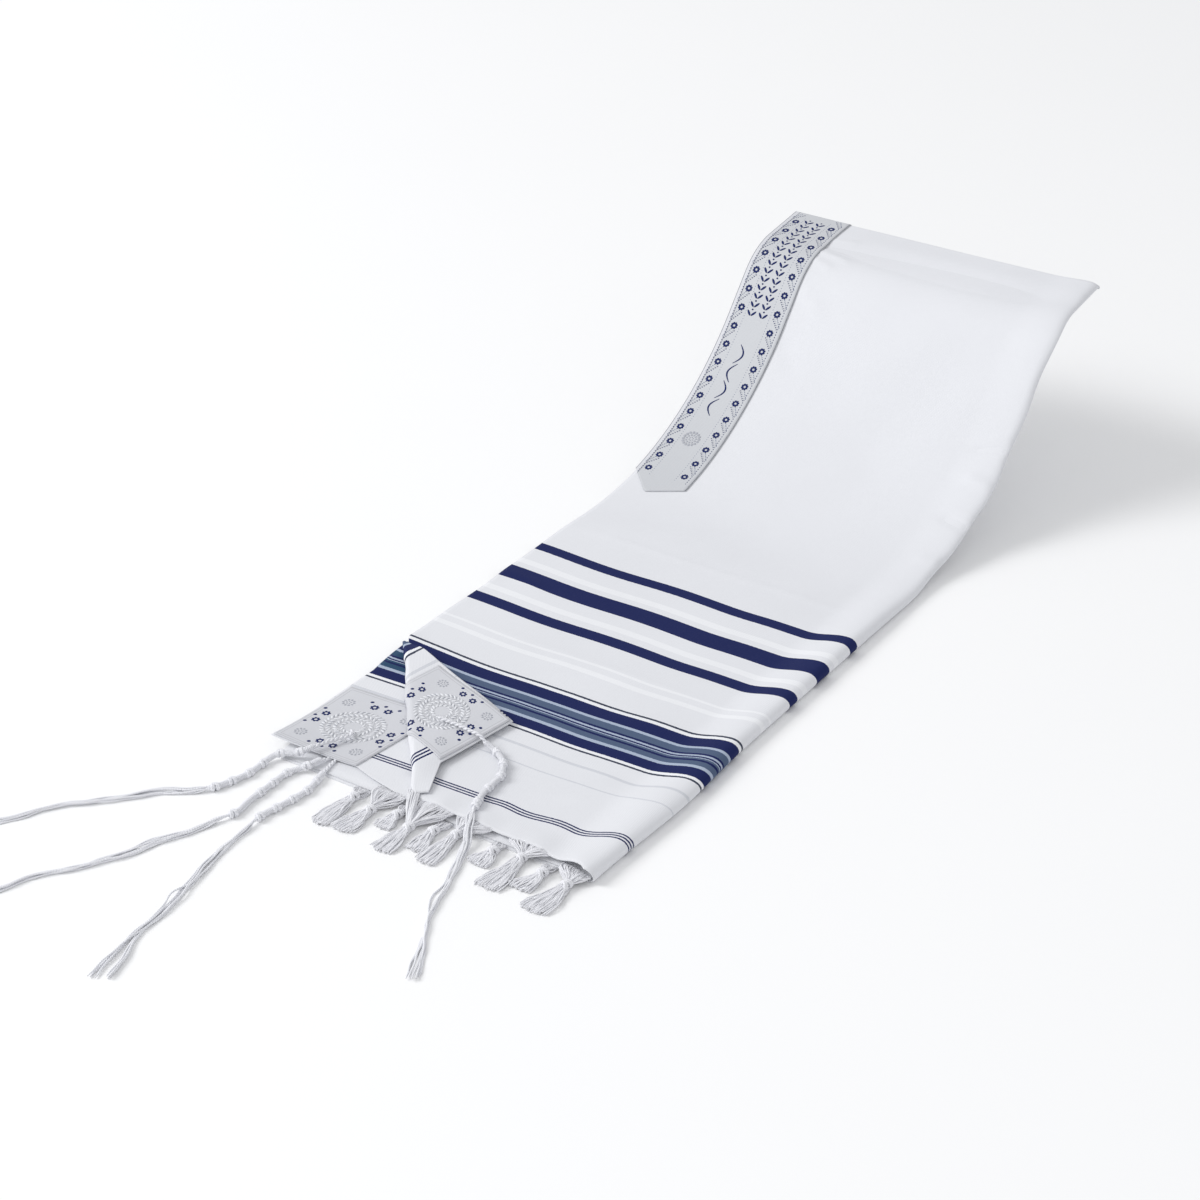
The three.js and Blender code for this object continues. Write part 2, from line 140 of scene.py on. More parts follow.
def setInput(tree, socket, value):
    value = getattr(value, "socket", value)
    if isinstance(value, bpy.types.NodeSocket):
        tree.links.new(value, socket)
    else:
        socket.default_value = value


def addNode(tree, kind, inputs=None, **settings):
    node = tree.nodes.new(kind)
    for name, value in settings.items():
        setattr(node, name, value)
    for name, value in (inputs or {}).items():
        setInput(tree, node.inputs[name], value)
    return node


# A number that a material's nodes work out, so that a pattern is written as plain sums.
class Amount:
    def __init__(self, tree, socket):
        self.tree, self.socket = tree, socket

    def math(self, operation, b=0.0, c=0.0):
        node = addNode(self.tree, "ShaderNodeMath", {0: self, 1: b, 2: c}, operation=operation)
        return Amount(self.tree, node.outputs[0])

    def __add__(self, other):
        return self.math("ADD", other)

    def __sub__(self, other):
        return self.math("SUBTRACT", other)

    def __mul__(self, other):
        return self.math("MULTIPLY", other)

    def near(self, place, reach):  # 1 within reach of a place, both in millimetres
        return self.math("COMPARE", place * mm, reach * mm)

    def threads(self, pitch):  # a ridge and a groove for every two threads
        return (self * (math.pi / (pitch * mm))).math("SINE")


def blendColour(tree, factor, a, b, kind="MIX"):
    node = addNode(tree, "ShaderNodeMix", {"Factor": factor}, data_type="RGBA", blend_type=kind)
    for name, value in (("A", a), ("B", b)):
        setInput(tree, [s for s in node.inputs if s.name == name and s.type == "RGBA"][0], value)
    return [s for s in node.outputs if s.type == "RGBA"][0]


def shaded(tree, base, shade):
    grey = addNode(tree, "ShaderNodeCombineColor", {0: shade, 1: shade, 2: shade}).outputs[0]
    return blendColour(tree, 1.0, base, grey, "MULTIPLY")


def newMaterial(name):
    material = bpy.data.materials.new(name)
    material.use_nodes = True
    return material, material.node_tree


# finish: bump strength and depth, roughness, gloss and sheen
def finishMaterial(material, paint, height, finish):
    tree = material.node_tree
    shader = tree.nodes["Principled BSDF"]
    strength, depth, *surface = finish
    tree.links.new(paint, shader.inputs["Base Color"])
    if height:
        inputs = {"Strength": strength, "Distance": depth * mm, "Height": height}
        bump = addNode(tree, "ShaderNodeBump", inputs)
        tree.links.new(bump.outputs[0], shader.inputs["Normal"])
    for name, value in zip(("Roughness", "Specular IOR Level", "Sheen Weight"), surface):
        shader.inputs[name].default_value = value
    return material


def ownUv(tree):
    uv = addNode(tree, "ShaderNodeUVMap", uv_map="weave").outputs[0]
    split = addNode(tree, "ShaderNodeSeparateXYZ", {0: uv})
    return uv, Amount(tree, split.outputs[0]), Amount(tree, split.outputs[1])


def fineNoise(tree, vector, scale, detail=2.0):
    noise = addNode(tree, "ShaderNodeTexNoise", {"Vector": vector, "Scale": scale, "Detail": detail})
    return Amount(tree, noise.outputs[0])


floorLook = {
    "tones": ((0.95, 0.95, 0.95, 1), (0.97, 0.97, 0.97, 1)), "cloud": 1.5, "finish": (0, 0, 0.9, 0.1, 0),
}


def floorMaterial():
    material, tree = newMaterial("pale_floor")
    place = addNode(tree, "ShaderNodeTexCoord").outputs["Object"]
    paint = blendColour(tree, fineNoise(tree, place, floorLook["cloud"]), *floorLook["tones"])
    return finishMaterial(material, paint, None, floorLook["finish"])


# Stripes, as the place along the cloth where each colour starts, in millimetres from the hem line.
stripes = {
    "whole": [
        (0, "white"), (13.2, "navy"), (14.8, "white"), (16.7, "navy"), (18.3, "white"), (20.2, "navy"),
        (21.8, "white"), (72, "grey"), (73.5, "white"), (94, "grey"), (97, "white"), (217, "bright"),
        (222, "white"), (231, "bright"), (234, "white"), (267, "navy"), (280, "white"), (290, "bright"),
        (298, "white"), (314.5, "navy"), (336.5, "white"), (345, "bright"), (352, "white"),
        (373, "navy"), (385.5, "white"),
    ],
    "band": [
        (110, "white"), (114.7, "charcoal"), (116.9, "bright"), (120.5, "navy"), (132.5, "pale"),
        (136, "steel"), (142.5, "navy"), (145, "steel"), (147, "pale"), (148, "navy"), (150, "pale"),
        (152, "navy"), (154.6, "steel"), (162.4, "pale"), (165.4, "navy"), (179.5, "bright"),
        (183.6, "charcoal"), (186, "white"),
    ],
    "reach": {"whole": (0, 400), "band": (110, 190)},
}


def stripeRamp(tree, key, v, shadeSwaps):
    low, high = stripes["reach"][key]
    ramp = addNode(tree, "ShaderNodeValToRGB", {0: (v - low * mm).math("DIVIDE", (high - low) * mm)})
    ramp.color_ramp.interpolation = "CONSTANT"
    elements = ramp.color_ramp.elements
    for index, (start, name) in enumerate(stripes[key]):
        position = (start - low) / (high - low)
        element = elements.new(position) if index else elements[0]
        element.position = position
        element.color = palette[shadeSwaps.get(name, name)]
    while elements[-1].position > 0.9999:
        elements.remove(elements[-1])
    return ramp.outputs[0]


woolLook = {
    "pitch": (0.85, 0.8), "stray": 0.9, "fuzz": 1600, "cloud": 9, "bandAt": (150, 40),
    "finish": (0.35, 0.25, 0.92, 0.2, 0.03),
}


def clothMaterial(title, shadeSwaps):
    material, tree = newMaterial(title)
    uv, u, v = ownUv(tree)
    row = v + (fineNoise(tree, uv, 700) - 0.5) * (woolLook["stray"] * mm)
    ramps = [stripeRamp(tree, key, row, shadeSwaps) for key in ("whole", "band")]
    striped = blendColour(tree, row.near(*woolLook["bandAt"]), *ramps)
    weave = u.threads(woolLook["pitch"][0]) * v.threads(woolLook["pitch"][1])  # plain, up and down in turn
    fuzz = fineNoise(tree, uv, woolLook["fuzz"], 4)
    shade = (weave * 0.05 + (fuzz * 0.16 + 0.87)) * (fineNoise(tree, uv, woolLook["cloud"]) * 0.05 + 0.965)
    return finishMaterial(material, shaded(tree, striped, shade), fuzz * 0.8 + weave, woolLook["finish"])


bandLook = {"half": 31.65, "edgeLine": (0.4, 0.35), "innerLine": (5.2, 0.4), "border": 5, "twill": 0.9,
            "finish": (0.3, 0.2, 0.55, 0.35, 0.15)}


def bandMaterial():
    material, tree = newMaterial("silver_band")
    uv, u, v = ownUv(tree)
    slant = (u + v).threads(bandLook["twill"])
    shine = slant * 0.035 + (fineNoise(tree, uv, 900, 3) * 0.14 + 0.9)
    edgeLine = u.math("PINGPONG", bandLook["half"] * mm).near(*bandLook["edgeLine"])
    lines = edgeLine.math("MAXIMUM", u.near(*bandLook["innerLine"])) * 0.6
    base = blendColour(tree, u.math("LESS_THAN", bandLook["border"] * mm), palette["silver"], palette["satin"])
    base = blendColour(tree, lines, base, palette["charcoal"])
    return finishMaterial(material, shaded(tree, base, shine), slant + lines * -2.5, bandLook["finish"])


# The patch's UV runs over its width and height in metres, from the shawl's own corner.
patch = {
    "width": 88, "height": 101, "wall": 0.8, "lift": 1.1, "hole": (50.5, 38), "middle": (44, 47),
    "wreath": (7, 27), "steps": (44, 50), "stitch": (1.6, 4.2), "twill": 0.9,
    "finish": (0.4, 0.25, 0.6, 0.35, 0.1),
    "corners": [(-159.0, -8.0), (-79.5, 0.0), (-68, 98), (-158.4, 92)],  # of the patch on the second ply
    "turned": {"tip": (-10, 117), "side": (0.2, 23), "hem": (-22.5, 37.2), "length": 104},
    "leaves": ((9, 14, 0.9), (14.5, 22, -0.8), (20, 30, 0.8), (25, 38, -0.7)),  # radius, count, lean
    "flowers": ((0, 33), (90, 36), (180, 33), (270, 33)),  # angle and distance from the middle
}


def patchMaterial():
    material, tree = newMaterial("white_brocade")
    uv, u, v = ownUv(tree)
    offU, offV = [axis - place * mm for axis, place in zip((u, v), patch["middle"])]
    radius = (offU * offU + offV * offV).math("SQRT")
    low, high = patch["wreath"]
    ring = radius.near((low + high) / 2, (high - low) / 2)
    turn = offV.math("ARCTAN2", offU)
    leaves = (turn * 11.0 + radius * 900).math("SINE")
    leafy = ring * (leaves + fineNoise(tree, uv, 260)).math("GREATER_THAN", 0.55)
    hatch = leafy * (turn * -26.0 + radius * 1500).math("SINE")
    ground = (u - v).threads(patch["twill"])
    toSide = u.math("PINGPONG", patch["width"] / 2 * mm)
    toEdge = toSide.math("MINIMUM", v.math("PINGPONG", patch["height"] / 2 * mm))
    seamOne, seamTwo = [toEdge.near(place, 0.3) for place in patch["stitch"]]
    seams = seamOne.math("MAXIMUM", seamTwo)
    # Over the wreath the ground is painted darker in its ring and leaves and in the grooves of the hatching:
    # painted shade among the raised stitches.
    shade = hatch * -0.1 + (fineNoise(tree, uv, 1100, 3) * 0.12 + 0.9)
    shade = ground * 0.025 + (seams * -0.2 + (ring * -0.07 + (leafy * -0.08 + shade)))
    height = hatch * 2.0 + (seams * -3.0 + ground)
    return finishMaterial(material, shaded(tree, palette["satin"], shade), height, patch["finish"])


def yarnMaterial(name, base, grooveShade, twist=1.6, sheen=0.0):
    material, tree = newMaterial(name)
    _, u, v = ownUv(tree)
    ply = (v * (2 * math.pi / (twist * mm)) + u * (4 * math.pi)).math("SINE")
    fuzz = fineNoise(tree, addNode(tree, "ShaderNodeTexCoord").outputs["Object"], 900, 3)
    # The second colour is painted shade, laid in the grooves of the twist and mixed with random fuzz tone.
    twistShadeAndFuzz = ply * 0.2 + (fuzz * 0.7 + 0.3)
    return finishMaterial(material, blendColour(tree, twistShadeAndFuzz, grooveShade, base), ply, (0.4, 0.3, 0.9, 0.2, sheen))


def finishPiece(piece, nodes):
    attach(piece, "root")
    if nodes:
        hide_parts(*nodes)
    return piece


def meshPiece(name, points, faces, material, uvs):
    mesh = bpy.data.meshes.new(name)
    mesh.from_pydata([placed(p) for p in points], [], faces)
    mesh.materials.append(material)
    layer = mesh.uv_layers.new(name="weave")
    corners = np.array([uvs[loop.vertex_index] for loop in mesh.loops], float) * mm
    layer.data.foreach_set("uv", corners.ravel())
    piece = bpy.data.objects.new(name, mesh)
    bpy.context.scene.collection.objects.link(piece)
    mesh.shade_smooth()
    return piece


def gridFaces(rows, columns, keep=None):
    faces = []
    for i in range(rows - 1):
        for j in range(columns - 1):
            if keep is None or keep(i, j):
                a = i * columns + j
                faces.append((a, a + 1, a + columns + 1, a + columns))
    return faces


def thicken(piece, wall):
    bpy.ops.object.select_all(action="DESELECT")
    piece.select_set(True)
    bpy.context.view_layer.objects.active = piece
    shell = piece.modifiers.new("wall", "SOLIDIFY")
    shell.thickness = wall * mm
    shell.offset = -1
    bpy.ops.object.modifier_apply(modifier=shell.name)
    piece.data.shade_smooth()
    return piece


# A tube round a run of points: rings that turn with the run, and a small closed tip at each end.
class Tubes:
    def __init__(self):
        self.points, self.faces, self.uvs = [], [], []

    def add(self, run, radius, sides=6):
        run = [Vector(p) for p in run]
        count = len(run)
        side = None
        first = len(self.points)
        length = 0.0
        for i, point in enumerate(run):
            ahead = (run[min(i + 1, count - 1)] - run[max(i - 1, 0)]).normalized()
            if side is None:
                side = ahead.orthogonal().normalized()
            side = (side - ahead * side.dot(ahead)).normalized()
            other = ahead.cross(side)
            if i:
                length += (point - run[i - 1]).length
            size = radius(i / (count - 1)) if callable(radius) else radius
            for k in range(sides):
                angle = 2 * math.pi * k / sides
                self.points.append(tuple(point + (side * math.cos(angle) + other * math.sin(angle)) * size))
                self.uvs.append((1000 * k / sides, length))
        for a in range(first, first + (count - 1) * sides, sides):
            for k in range(sides):
                n = (k + 1) % sides
                self.faces.append((a + k, a + n, a + sides + n, a + sides + k))
        self.faces.append(tuple(first + k for k in reversed(range(sides))))
        self.faces.append(tuple(first + (count - 1) * sides + k for k in range(sides)))

    def winding(self, centre, ahead, radius, thread, turns, pitch, sides=6, flat=1.0, lean=0.0):
        ahead = Vector(ahead).normalized()
        side = ahead.cross(Vector((0, 0, 1)))
        side = side.normalized() if side.length > 0.05 else Vector((1, 0, 0))
        up = side.cross(ahead)
        steps = max(int(turns * 12), 8)
        run = []
        for i in range(steps + 1):
            angle = 2 * math.pi * turns * i / steps
            tuck = radius * (1 - 0.45 * (abs(2 * i / steps - 1) ** 8))
            offset = side * math.cos(angle) * tuck + up * math.sin(angle) * tuck * flat
            travel = pitch * turns * (i / steps - 0.5) + lean * math.cos(angle)
            run.append(Vector(centre) + offset + ahead * travel)
        self.add(run, thread, sides)

    def piece(self, name, material):
        return meshPiece(name, self.points, self.faces, material, self.uvs)


strip = {
    "stack": 5.5, "flat": 470, "sweepRadius": 325, "sweepAngle": math.radians(49), "rise": 45,
    "brinkRadius": 70, "endAngle": math.radians(7), "endLength": 52,
    "left": -167.5, "right": 167.5, "rollCentre": 159, "rollRise": 41, "crest": 8, "crestEnd": 3,
    "bulge": (4.5, 100, 65), "wall": 0.9, "step": 3.5, "endReach": 2.8,
    "rollCloth": 23.4,  # cloth in the turn of the roll
}
sweepLength = strip["sweepRadius"] * strip["sweepAngle"]
brinkLength = strip["brinkRadius"] * (strip["sweepAngle"] - strip["endAngle"])
halfLength = strip["flat"] + sweepLength + strip["rise"] + brinkLength + strip["endLength"]

# Soft creases: from and to as (x, distance along the cloth), half width and height, negative for a trough.
creases = [
    ((-110, 846), (160, 850), 15, -2.2), ((-110, 872), (160, 876), 14, 0.9),
    ((-108, 838), (-66, 832), 3.4, 1.5), ((-108, 849), (-60, 852), 3.2, -1.3),
    ((-108, 826), (-78, 817), 4.2, 1.0), ((-106, 861), (-74, 868), 4, 0.9),
    ((-104, 792), (-70, 770), 8, 0.8), ((-100, 740), (-72, 700), 10, -0.7),
    ((-150, 420), (-30, 505), 15, 1.0), ((-140, 470), (-10, 560), 18, -0.9),
    ((-60, 545), (50, 640), 22, 0.9), ((20, 620), (90, 760), 26, -0.9),
    ((-20, 700), (60, 800), 24, 0.8), ((60, 420), (140, 520), 20, 0.8),
    ((174, 690), (128, 676), 5, -1.5), ((175, 643), (134, 650), 6, 1.4), ((177, 592), (134, 600), 6, -1.5),
    ((170, 545), (140, 540), 7, 0.9), ((-166, 430), (165, 434), 4, 0.45), ((-164, 236), (150, 239), 4, 0.35),
    ((80, 44), (152, 96), 9, 1.1), ((98, 92), (156, 128), 9, -0.9), ((20, 52), (86, 108), 16, -0.6),
    ((-60, 215), (60, 245), 16, 0.6), ((30, 150), (110, 200), 18, 0.7), ((-166, 330), (-120, 318), 8, 0.8),
]
hemLift = [(-20, 0.6), (-4, 1.4), (11, 3.0), (29, 0.9), (47, 2.4), (70, 0.6), (86, 1.4), (108, 3.2),
           (133, 0.8), (150, 1.6), (176, 0)]
topHem = [(-12, -11), (40, -12), (100, -14), (140, -19), (175, -26)]


def profile(place):
    rest = place
    if rest <= strip["flat"]:
        return rest, strip["stack"], 0.0
    rest -= strip["flat"]
    radius = strip["sweepRadius"]
    turn = min(rest, sweepLength) / radius
    y = strip["flat"] + radius * math.sin(turn)
    z = strip["stack"] + radius * (1 - math.cos(turn))
    angle = turn
    rest -= sweepLength
    if rest > 0:
        rise = min(rest, strip["rise"])
        y += rise * math.cos(strip["sweepAngle"])
        z += rise * math.sin(strip["sweepAngle"])
        rest -= strip["rise"]
    if rest > 0:
        angle = strip["sweepAngle"] - min(rest, brinkLength) / strip["brinkRadius"]
        y += strip["brinkRadius"] * (math.sin(strip["sweepAngle"]) - math.sin(angle))
        z += strip["brinkRadius"] * (math.cos(angle) - math.cos(strip["sweepAngle"]))
        rest -= brinkLength
    if rest > 0:
        y += rest * math.cos(strip["endAngle"])
        z += rest * math.sin(strip["endAngle"])
    return y, z, angle


def stripPoint(x, place, height, ahead=0.0):
    y, z, angle = profile(place)
    return (
        x,
        y - height * math.sin(angle) + ahead * math.cos(angle),
        z + height * math.cos(angle) + ahead * math.sin(angle),
    )


def creaseHeight(x, place):
    total = 0.0
    for (x0, s0), (x1, s1), reach, height in creases:
        runX, runS = x1 - x0, s1 - s0
        part = ((x - x0) * runX + (place - s0) * runS) / (runX * runX + runS * runS)
        if -0.2 < part < 1.2:
            nearest = min(max(part, 0), 1)
            away = math.hypot(x - x0 - runX * nearest, place - s0 - runS * nearest) / reach
            if away < 3:
                taper = smooth(-0.02, 0.3, part) * (1 - smooth(0.7, 1.02, part))
                total += height * math.exp(-away * away) * (0.25 + 0.75 * taper)
    drift = 0.45 * math.sin(x / 41 + place / 67) * math.sin(place / 53 - x / 90 + 1.3)
    return 1.25 * total + drift * smooth(60, 140, place) * smooth(-160, -120, x)


def stripeShift(x, place):  # how far the stripes stray along the cloth
    skew = 0.045 * max(0, x + 10) * (1 - smooth(190, 330, place))
    wave = 1.5 * math.cos(2 * math.pi * (x + 11) / 150) * (1 - smooth(40, 100, x)) * smooth(60, 120, place)
    ripple = 1.5 * math.sin(2 * math.pi * (x - 32) / 57) * smooth(30, 60, x) * (1 - smooth(30, 70, place))
    return skew + wave + ripple


foldStart = Vector((-167.5, 176))
foldEnd = Vector((-15, -10))
foldRun = foldEnd - foldStart
foldLength = foldRun.length
foldAlong = foldRun.normalized()
foldInward = Vector((-foldAlong.y, foldAlong.x))


def foldPoint(part, inward):
    return foldStart + foldRun * part + foldInward * inward


def foldLine(x, inward):  # y of the line that runs beside the fold
    start = foldPoint(0, inward)
    return start.y + (x - start.x) * foldRun.y / foldRun.x


def rightEdge(place):
    reach, middle, spread = strip["bulge"]
    wander = 1.2 * math.sin(place / 31) + 0.9 * math.sin(place / 12.7 + 1)
    edge = strip["right"] + reach * math.exp(-(((place - middle) / spread) ** 2))
    return edge + wander * smooth(430, 560, place) * (1 - smooth(800, 860, place))


def sectionColumns(topStep, underCount):
    left, rise = strip["left"], strip["rollCentre"] - strip["rollRise"]
    count = int((rise - left) / topStep)
    columns = [("top", mix(left, rise, i / count)) for i in range(count)]
    columns += [("top", mix(rise, strip["rollCentre"], i / 11)) for i in range(11)]
    columns += [("roll", 90 - 180 * i / 12) for i in range(13)]
    columns += [("under", i / underCount) for i in range(1, underCount + 1)]
    return columns


def sectionPoint(column, place, inset, leftTop, leftUnder):
    kind, value = column
    crest = mix(strip["crest"], strip["crestEnd"], smooth(420, 560, place))
    centre = strip["rollCentre"]
    if kind == "top":
        x = value + (leftTop - strip["left"]) * (1 - smooth(strip["left"], strip["left"] + 60, value))
        height = crest * smooth(centre - strip["rollRise"], centre, value) - inset
        return x, height, value
    if kind == "roll":
        angle = math.radians(value)
        x = centre + (rightEdge(place) - centre - inset) * math.cos(angle)
        height = (crest - strip["stack"]) / 2 + ((crest + strip["stack"]) / 2 - inset) * math.sin(angle)
        return x, height, centre + (90 - value) / 180 * strip["rollCloth"]
    across = centre + strip["rollCloth"] + (centre - leftUnder) * value
    return mix(centre, leftUnder, value), -strip["stack"] + inset, across


def stripSheet(name, inset, front, topStep, rowStep, underCount, tuck, lift, material):
    columns = sectionColumns(topStep, underCount)
    rows = int(halfLength / rowStep)
    wraps = 9 if lift else 1
    end = halfLength - (0 if lift else 0.6)
    points, uvs = [], []
    for i in range(rows + wraps):
        for j, column in enumerate(columns):
            start = front(column)
            place = mix(start, end, min(i / (rows - 1), 1))
            wander = 0.8 * math.sin(place / 37 + inset * 5) + 0.5 * math.sin(place / 14 + inset * 9)
            under = strip["left"] + tuck * max(0, (190 - place) / 211) ** 1.3 + 1.2 + wander
            x, height, across = sectionPoint(column, place, inset, strip["left"] + 0.3 + wander * 0.7, under)
            if column[0] != "under" and lift:
                fade = 1 if column[0] == "top" else max(0, math.sin(math.radians(column[1])))
                height += creaseHeight(x, place) * fade
                height += along(hemLift, x) * (1 - smooth(0, 30, place - start)) * fade
            turn = max(0, i - rows + 1)
            middle = -strip["stack"] / 2
            if turn:
                theta = math.radians(turn * 144 / 8)
                rel = height - middle
                lobe = 1.375 * max(-1, min(1, rel))
                size = mix(rel - lobe, 1.375 * max(-1, min(1, rel)), turn / 8)
                ahead = strip["endReach"] * math.sin(theta)
                point = stripPoint(x, end, middle + lobe + size * math.cos(theta), ahead)
            else:
                point = stripPoint(x, place, height)
            points.append((point[0], point[1], max(point[2], 0.05)))
            uvs.append((across, place - stripeShift(x, place)))
    piece = meshPiece(name, points, gridFaces(rows + wraps, len(columns)), material, uvs)
    return thicken(piece, strip["wall"])


def outerFront(column):
    kind, value = column
    if kind == "top":
        if value < -12:
            return foldLine(value, 5.2)
        return along(topHem, value)
    if kind == "roll":
        return mix(-24.5, -20.5, (90 - value) / 180)
    return -20.5


def innerFront(column):
    kind, value = column
    if kind == "top":
        return foldLine(value, 5.5) if value < -16 else -9.0
    if kind == "roll":
        return mix(-9.0, -18.0, (90 - value) / 180)
    return -18.0


corner = {
    "roll": 4.6, "startRoll": 1.1, "opens": 0.14, "narrows": (0.82, 2.4), "floor": 4.5,
    "tip": (-8, 118), "heel": (-21, 36), "lastReach": 13, "rows": 70, "turns": 13, "across": 26,
    "edgeHigh": (15, 10.5, 9, 9.5), "stripesFrom": 18, "stripesWider": 0.81,
}


def partOf(point):
    return (Vector(point) - foldStart).dot(foldAlong) / foldLength


def inwardOf(point):
    return (Vector(point) - foldStart).dot(foldInward)


tipPart, heelPart = partOf(corner["tip"]), partOf(corner["heel"])


def cornerShape(part):  # radius of the roll, reach of the flap and height of its edge
    narrowFrom, narrowBy = corner["narrows"]
    radius = mix(corner["startRoll"], corner["roll"], smooth(0, corner["opens"], part))
    radius -= narrowBy * smooth(narrowFrom, 1, part)
    tip, heel = inwardOf(corner["tip"]), inwardOf(corner["heel"])
    start, atTip, atHeel, last = corner["edgeHigh"]
    if part < tipPart:
        share = part / tipPart
        return radius, tip * share, mix(start, atTip, share)
    if part < heelPart:
        share = (part - tipPart) / (heelPart - tipPart)
        return radius, mix(tip, heel, share), mix(atTip, atHeel, share)
    share = (part - heelPart) / (1 - heelPart)
    return radius, mix(heel, corner["lastReach"], share), mix(atHeel, last, share)


def turnedSurface(part, inward, lift):  # inward is measured over the cloth from the top of the roll
    radius, reach, edge = cornerShape(part)
    wobble = 0.5 * math.sin(part * 21) + 0.35 * math.sin(part * 47 + 1)
    crown = corner["floor"] + 2 * radius
    if inward >= radius:
        span = max(reach + 6, radius + 3) - radius
        step = min((inward - radius) / span, 1)
        height = mix(crown, min(edge, crown + 1), smooth(0, 1, step * 0.9))
        height += 0.7 * math.sin(inward / 19 + part * 9) * smooth(radius, 30, inward)
        x, y = foldPoint(part, inward)
        return x, y, height + lift
    turn = math.pi / 2 + (radius - inward) / radius
    x, y = foldPoint(part, radius + (radius + lift + wobble) * math.cos(turn))
    return x, y, corner["floor"] + radius + (radius + lift) * math.sin(turn)


# Where a point of the turned corner was before it was turned. Its stripes show wider than on the flat.
def clothOrigin(part, inward):
    radius = cornerShape(part)[0]
    x, y = foldPoint(part, -(inward + 1.14 * radius))
    return x, mix(corner["stripesFrom"], y - stripeShift(x, y), corner["stripesWider"])


def makeTurnedCorner(material):
    rows = [mix(0.012, 1, i / corner["rows"]) for i in range(corner["rows"] + 1)] + [tipPart, heelPart]
    rows = sorted(rows, reverse=True)
    points, uvs = [], []
    for part in rows:
        radius, reach, _ = cornerShape(part)
        tucked = radius - radius * math.pi
        line = [mix(tucked, radius, i / corner["turns"]) for i in range(corner["turns"])]
        far = max(reach, radius + 0.4)
        line += [mix(radius, far, i / corner["across"]) for i in range(corner["across"] + 1)]
        for inward in line:
            points.append(turnedSurface(part, inward, 0))
            uvs.append(clothOrigin(part, inward))
    columns = corner["turns"] + corner["across"] + 1
    piece = meshPiece("turned_corner", points, gridFaces(len(rows), columns), material, uvs)
    return thicken(piece, strip["wall"])


second = {
    "top": 4.2, "tip": (-160, -9), "lift": 7, "reach": 100, "columns": 64, "rows": 60,
    "sides": (-160.5, -9.2), "hem": [(-160.5, -9.5), (-79.5, 0.3), (-62, -5), (-24, -13), (-9, -13)],
}


def secondHeight(x, y):
    away = math.hypot(x - second["tip"][0], y - second["tip"][1])
    return second["top"] + second["lift"] * max(0, 1 - away / second["reach"]) ** 2


def makeSecondPly(material):
    points, uvs = [], []
    for i in range(second["rows"] + 1):
        for j in range(second["columns"] + 1):
            x = mix(*second["sides"], j / second["columns"])
            low = along(second["hem"], x, True)
            y = mix(low, max(foldLine(x, 5), low + 0.5), i / second["rows"])
            edge = 0.5 * math.sin(y / 17) * (1 - smooth(0, 12, j))
            points.append((x + edge, y, secondHeight(x, y)))
            uvs.append((x, y + 1.5 - 0.055 * (x + 160)))
    grid = gridFaces(second["rows"] + 1, second["columns"] + 1)
    piece = meshPiece("second_ply_corner", points, grid, material, uvs)
    return thicken(piece, strip["wall"])


def modelStitch():  # a low dome, cut from a ball and closed underneath
    bpy.ops.object.select_all(action="DESELECT")
    bpy.ops.mesh.primitive_uv_sphere_add(segments=8, ring_count=4, radius=1)
    ball = bpy.context.object
    bpy.ops.object.mode_set(mode="EDIT")
    bpy.ops.mesh.select_all(action="SELECT")
    bpy.ops.mesh.bisect(plane_co=(0, 0, -0.1), plane_no=(0, 0, 1), clear_inner=True, use_fill=True)
    bpy.ops.object.mode_set(mode="OBJECT")
    shape = [tuple(v.co) for v in ball.data.vertices], [tuple(p.vertices) for p in ball.data.polygons]
    bpy.data.objects.remove(ball)
    return shape


class Embroidery:
    def __init__(self, surface, mirrored=False):
        self.surface, self.points, self.faces = surface, [], []
        self.order = -1 if mirrored else 1

    def stitch(self, a, b, length, width, turn=0.0, high=0.28):
        vertices, faces = stitchShape
        first = len(self.points)
        cosine, sine = math.cos(turn), math.sin(turn)
        for x, y, z in vertices:
            da, db = x * length / 2, y * width / 2
            place = a + da * cosine - db * sine, b + da * sine + db * cosine
            self.points.append(self.surface(*place, z * high))
        self.faces += [tuple(first + k for k in face[:: self.order]) for face in faces]

    def rosette(self, a, b, ring, petals, petal):
        for k in range(petals):
            angle = 2 * math.pi * (k + 0.5) / petals
            self.stitch(a + ring * math.cos(angle), b + ring * math.sin(angle), petal, petal * 0.85, angle)

    def piece(self, name, material):
        uvs = [(p[0], p[1]) for p in self.points]
        return meshPiece(name, self.points, self.faces, material, uvs)


def secondPatchSurface(a, b, lift):
    u, v = a / patch["width"], b / patch["height"]
    (x0, y0), (x1, y1), (x2, y2), (x3, y3) = patch["corners"]
    x = mix(mix(x0, x1, u), mix(x3, x2, u), v)
    y = mix(mix(y0, y1, u), mix(y3, y2, u), v)
    return x, y, secondHeight(x, y) + patch["lift"] + lift + 0.25 * math.sin(a / 9) * math.sin(b / 11)


def turnedPatchPlace(a, b):
    lay = patch["turned"]
    tip = Vector(lay["tip"])
    side = (foldPoint(*lay["side"]) - tip).normalized()
    hem = Vector(lay["hem"]) - tip
    place = tip + side * (b * lay["length"] / patch["height"]) + hem * (a / patch["width"])
    return partOf(place), inwardOf(place)


def turnedPatchSurface(a, b, lift):
    part, inward = turnedPatchPlace(a, b)
    return turnedSurface(part, max(inward, -9), patch["lift"] + lift)


def patchKept(name, a, b):
    if name == "second":
        x, y, _ = secondPatchSurface(a, b, 0)
        return inwardOf((x, y)) < 2.5
    return turnedPatchPlace(a, b)[1] > -8.5


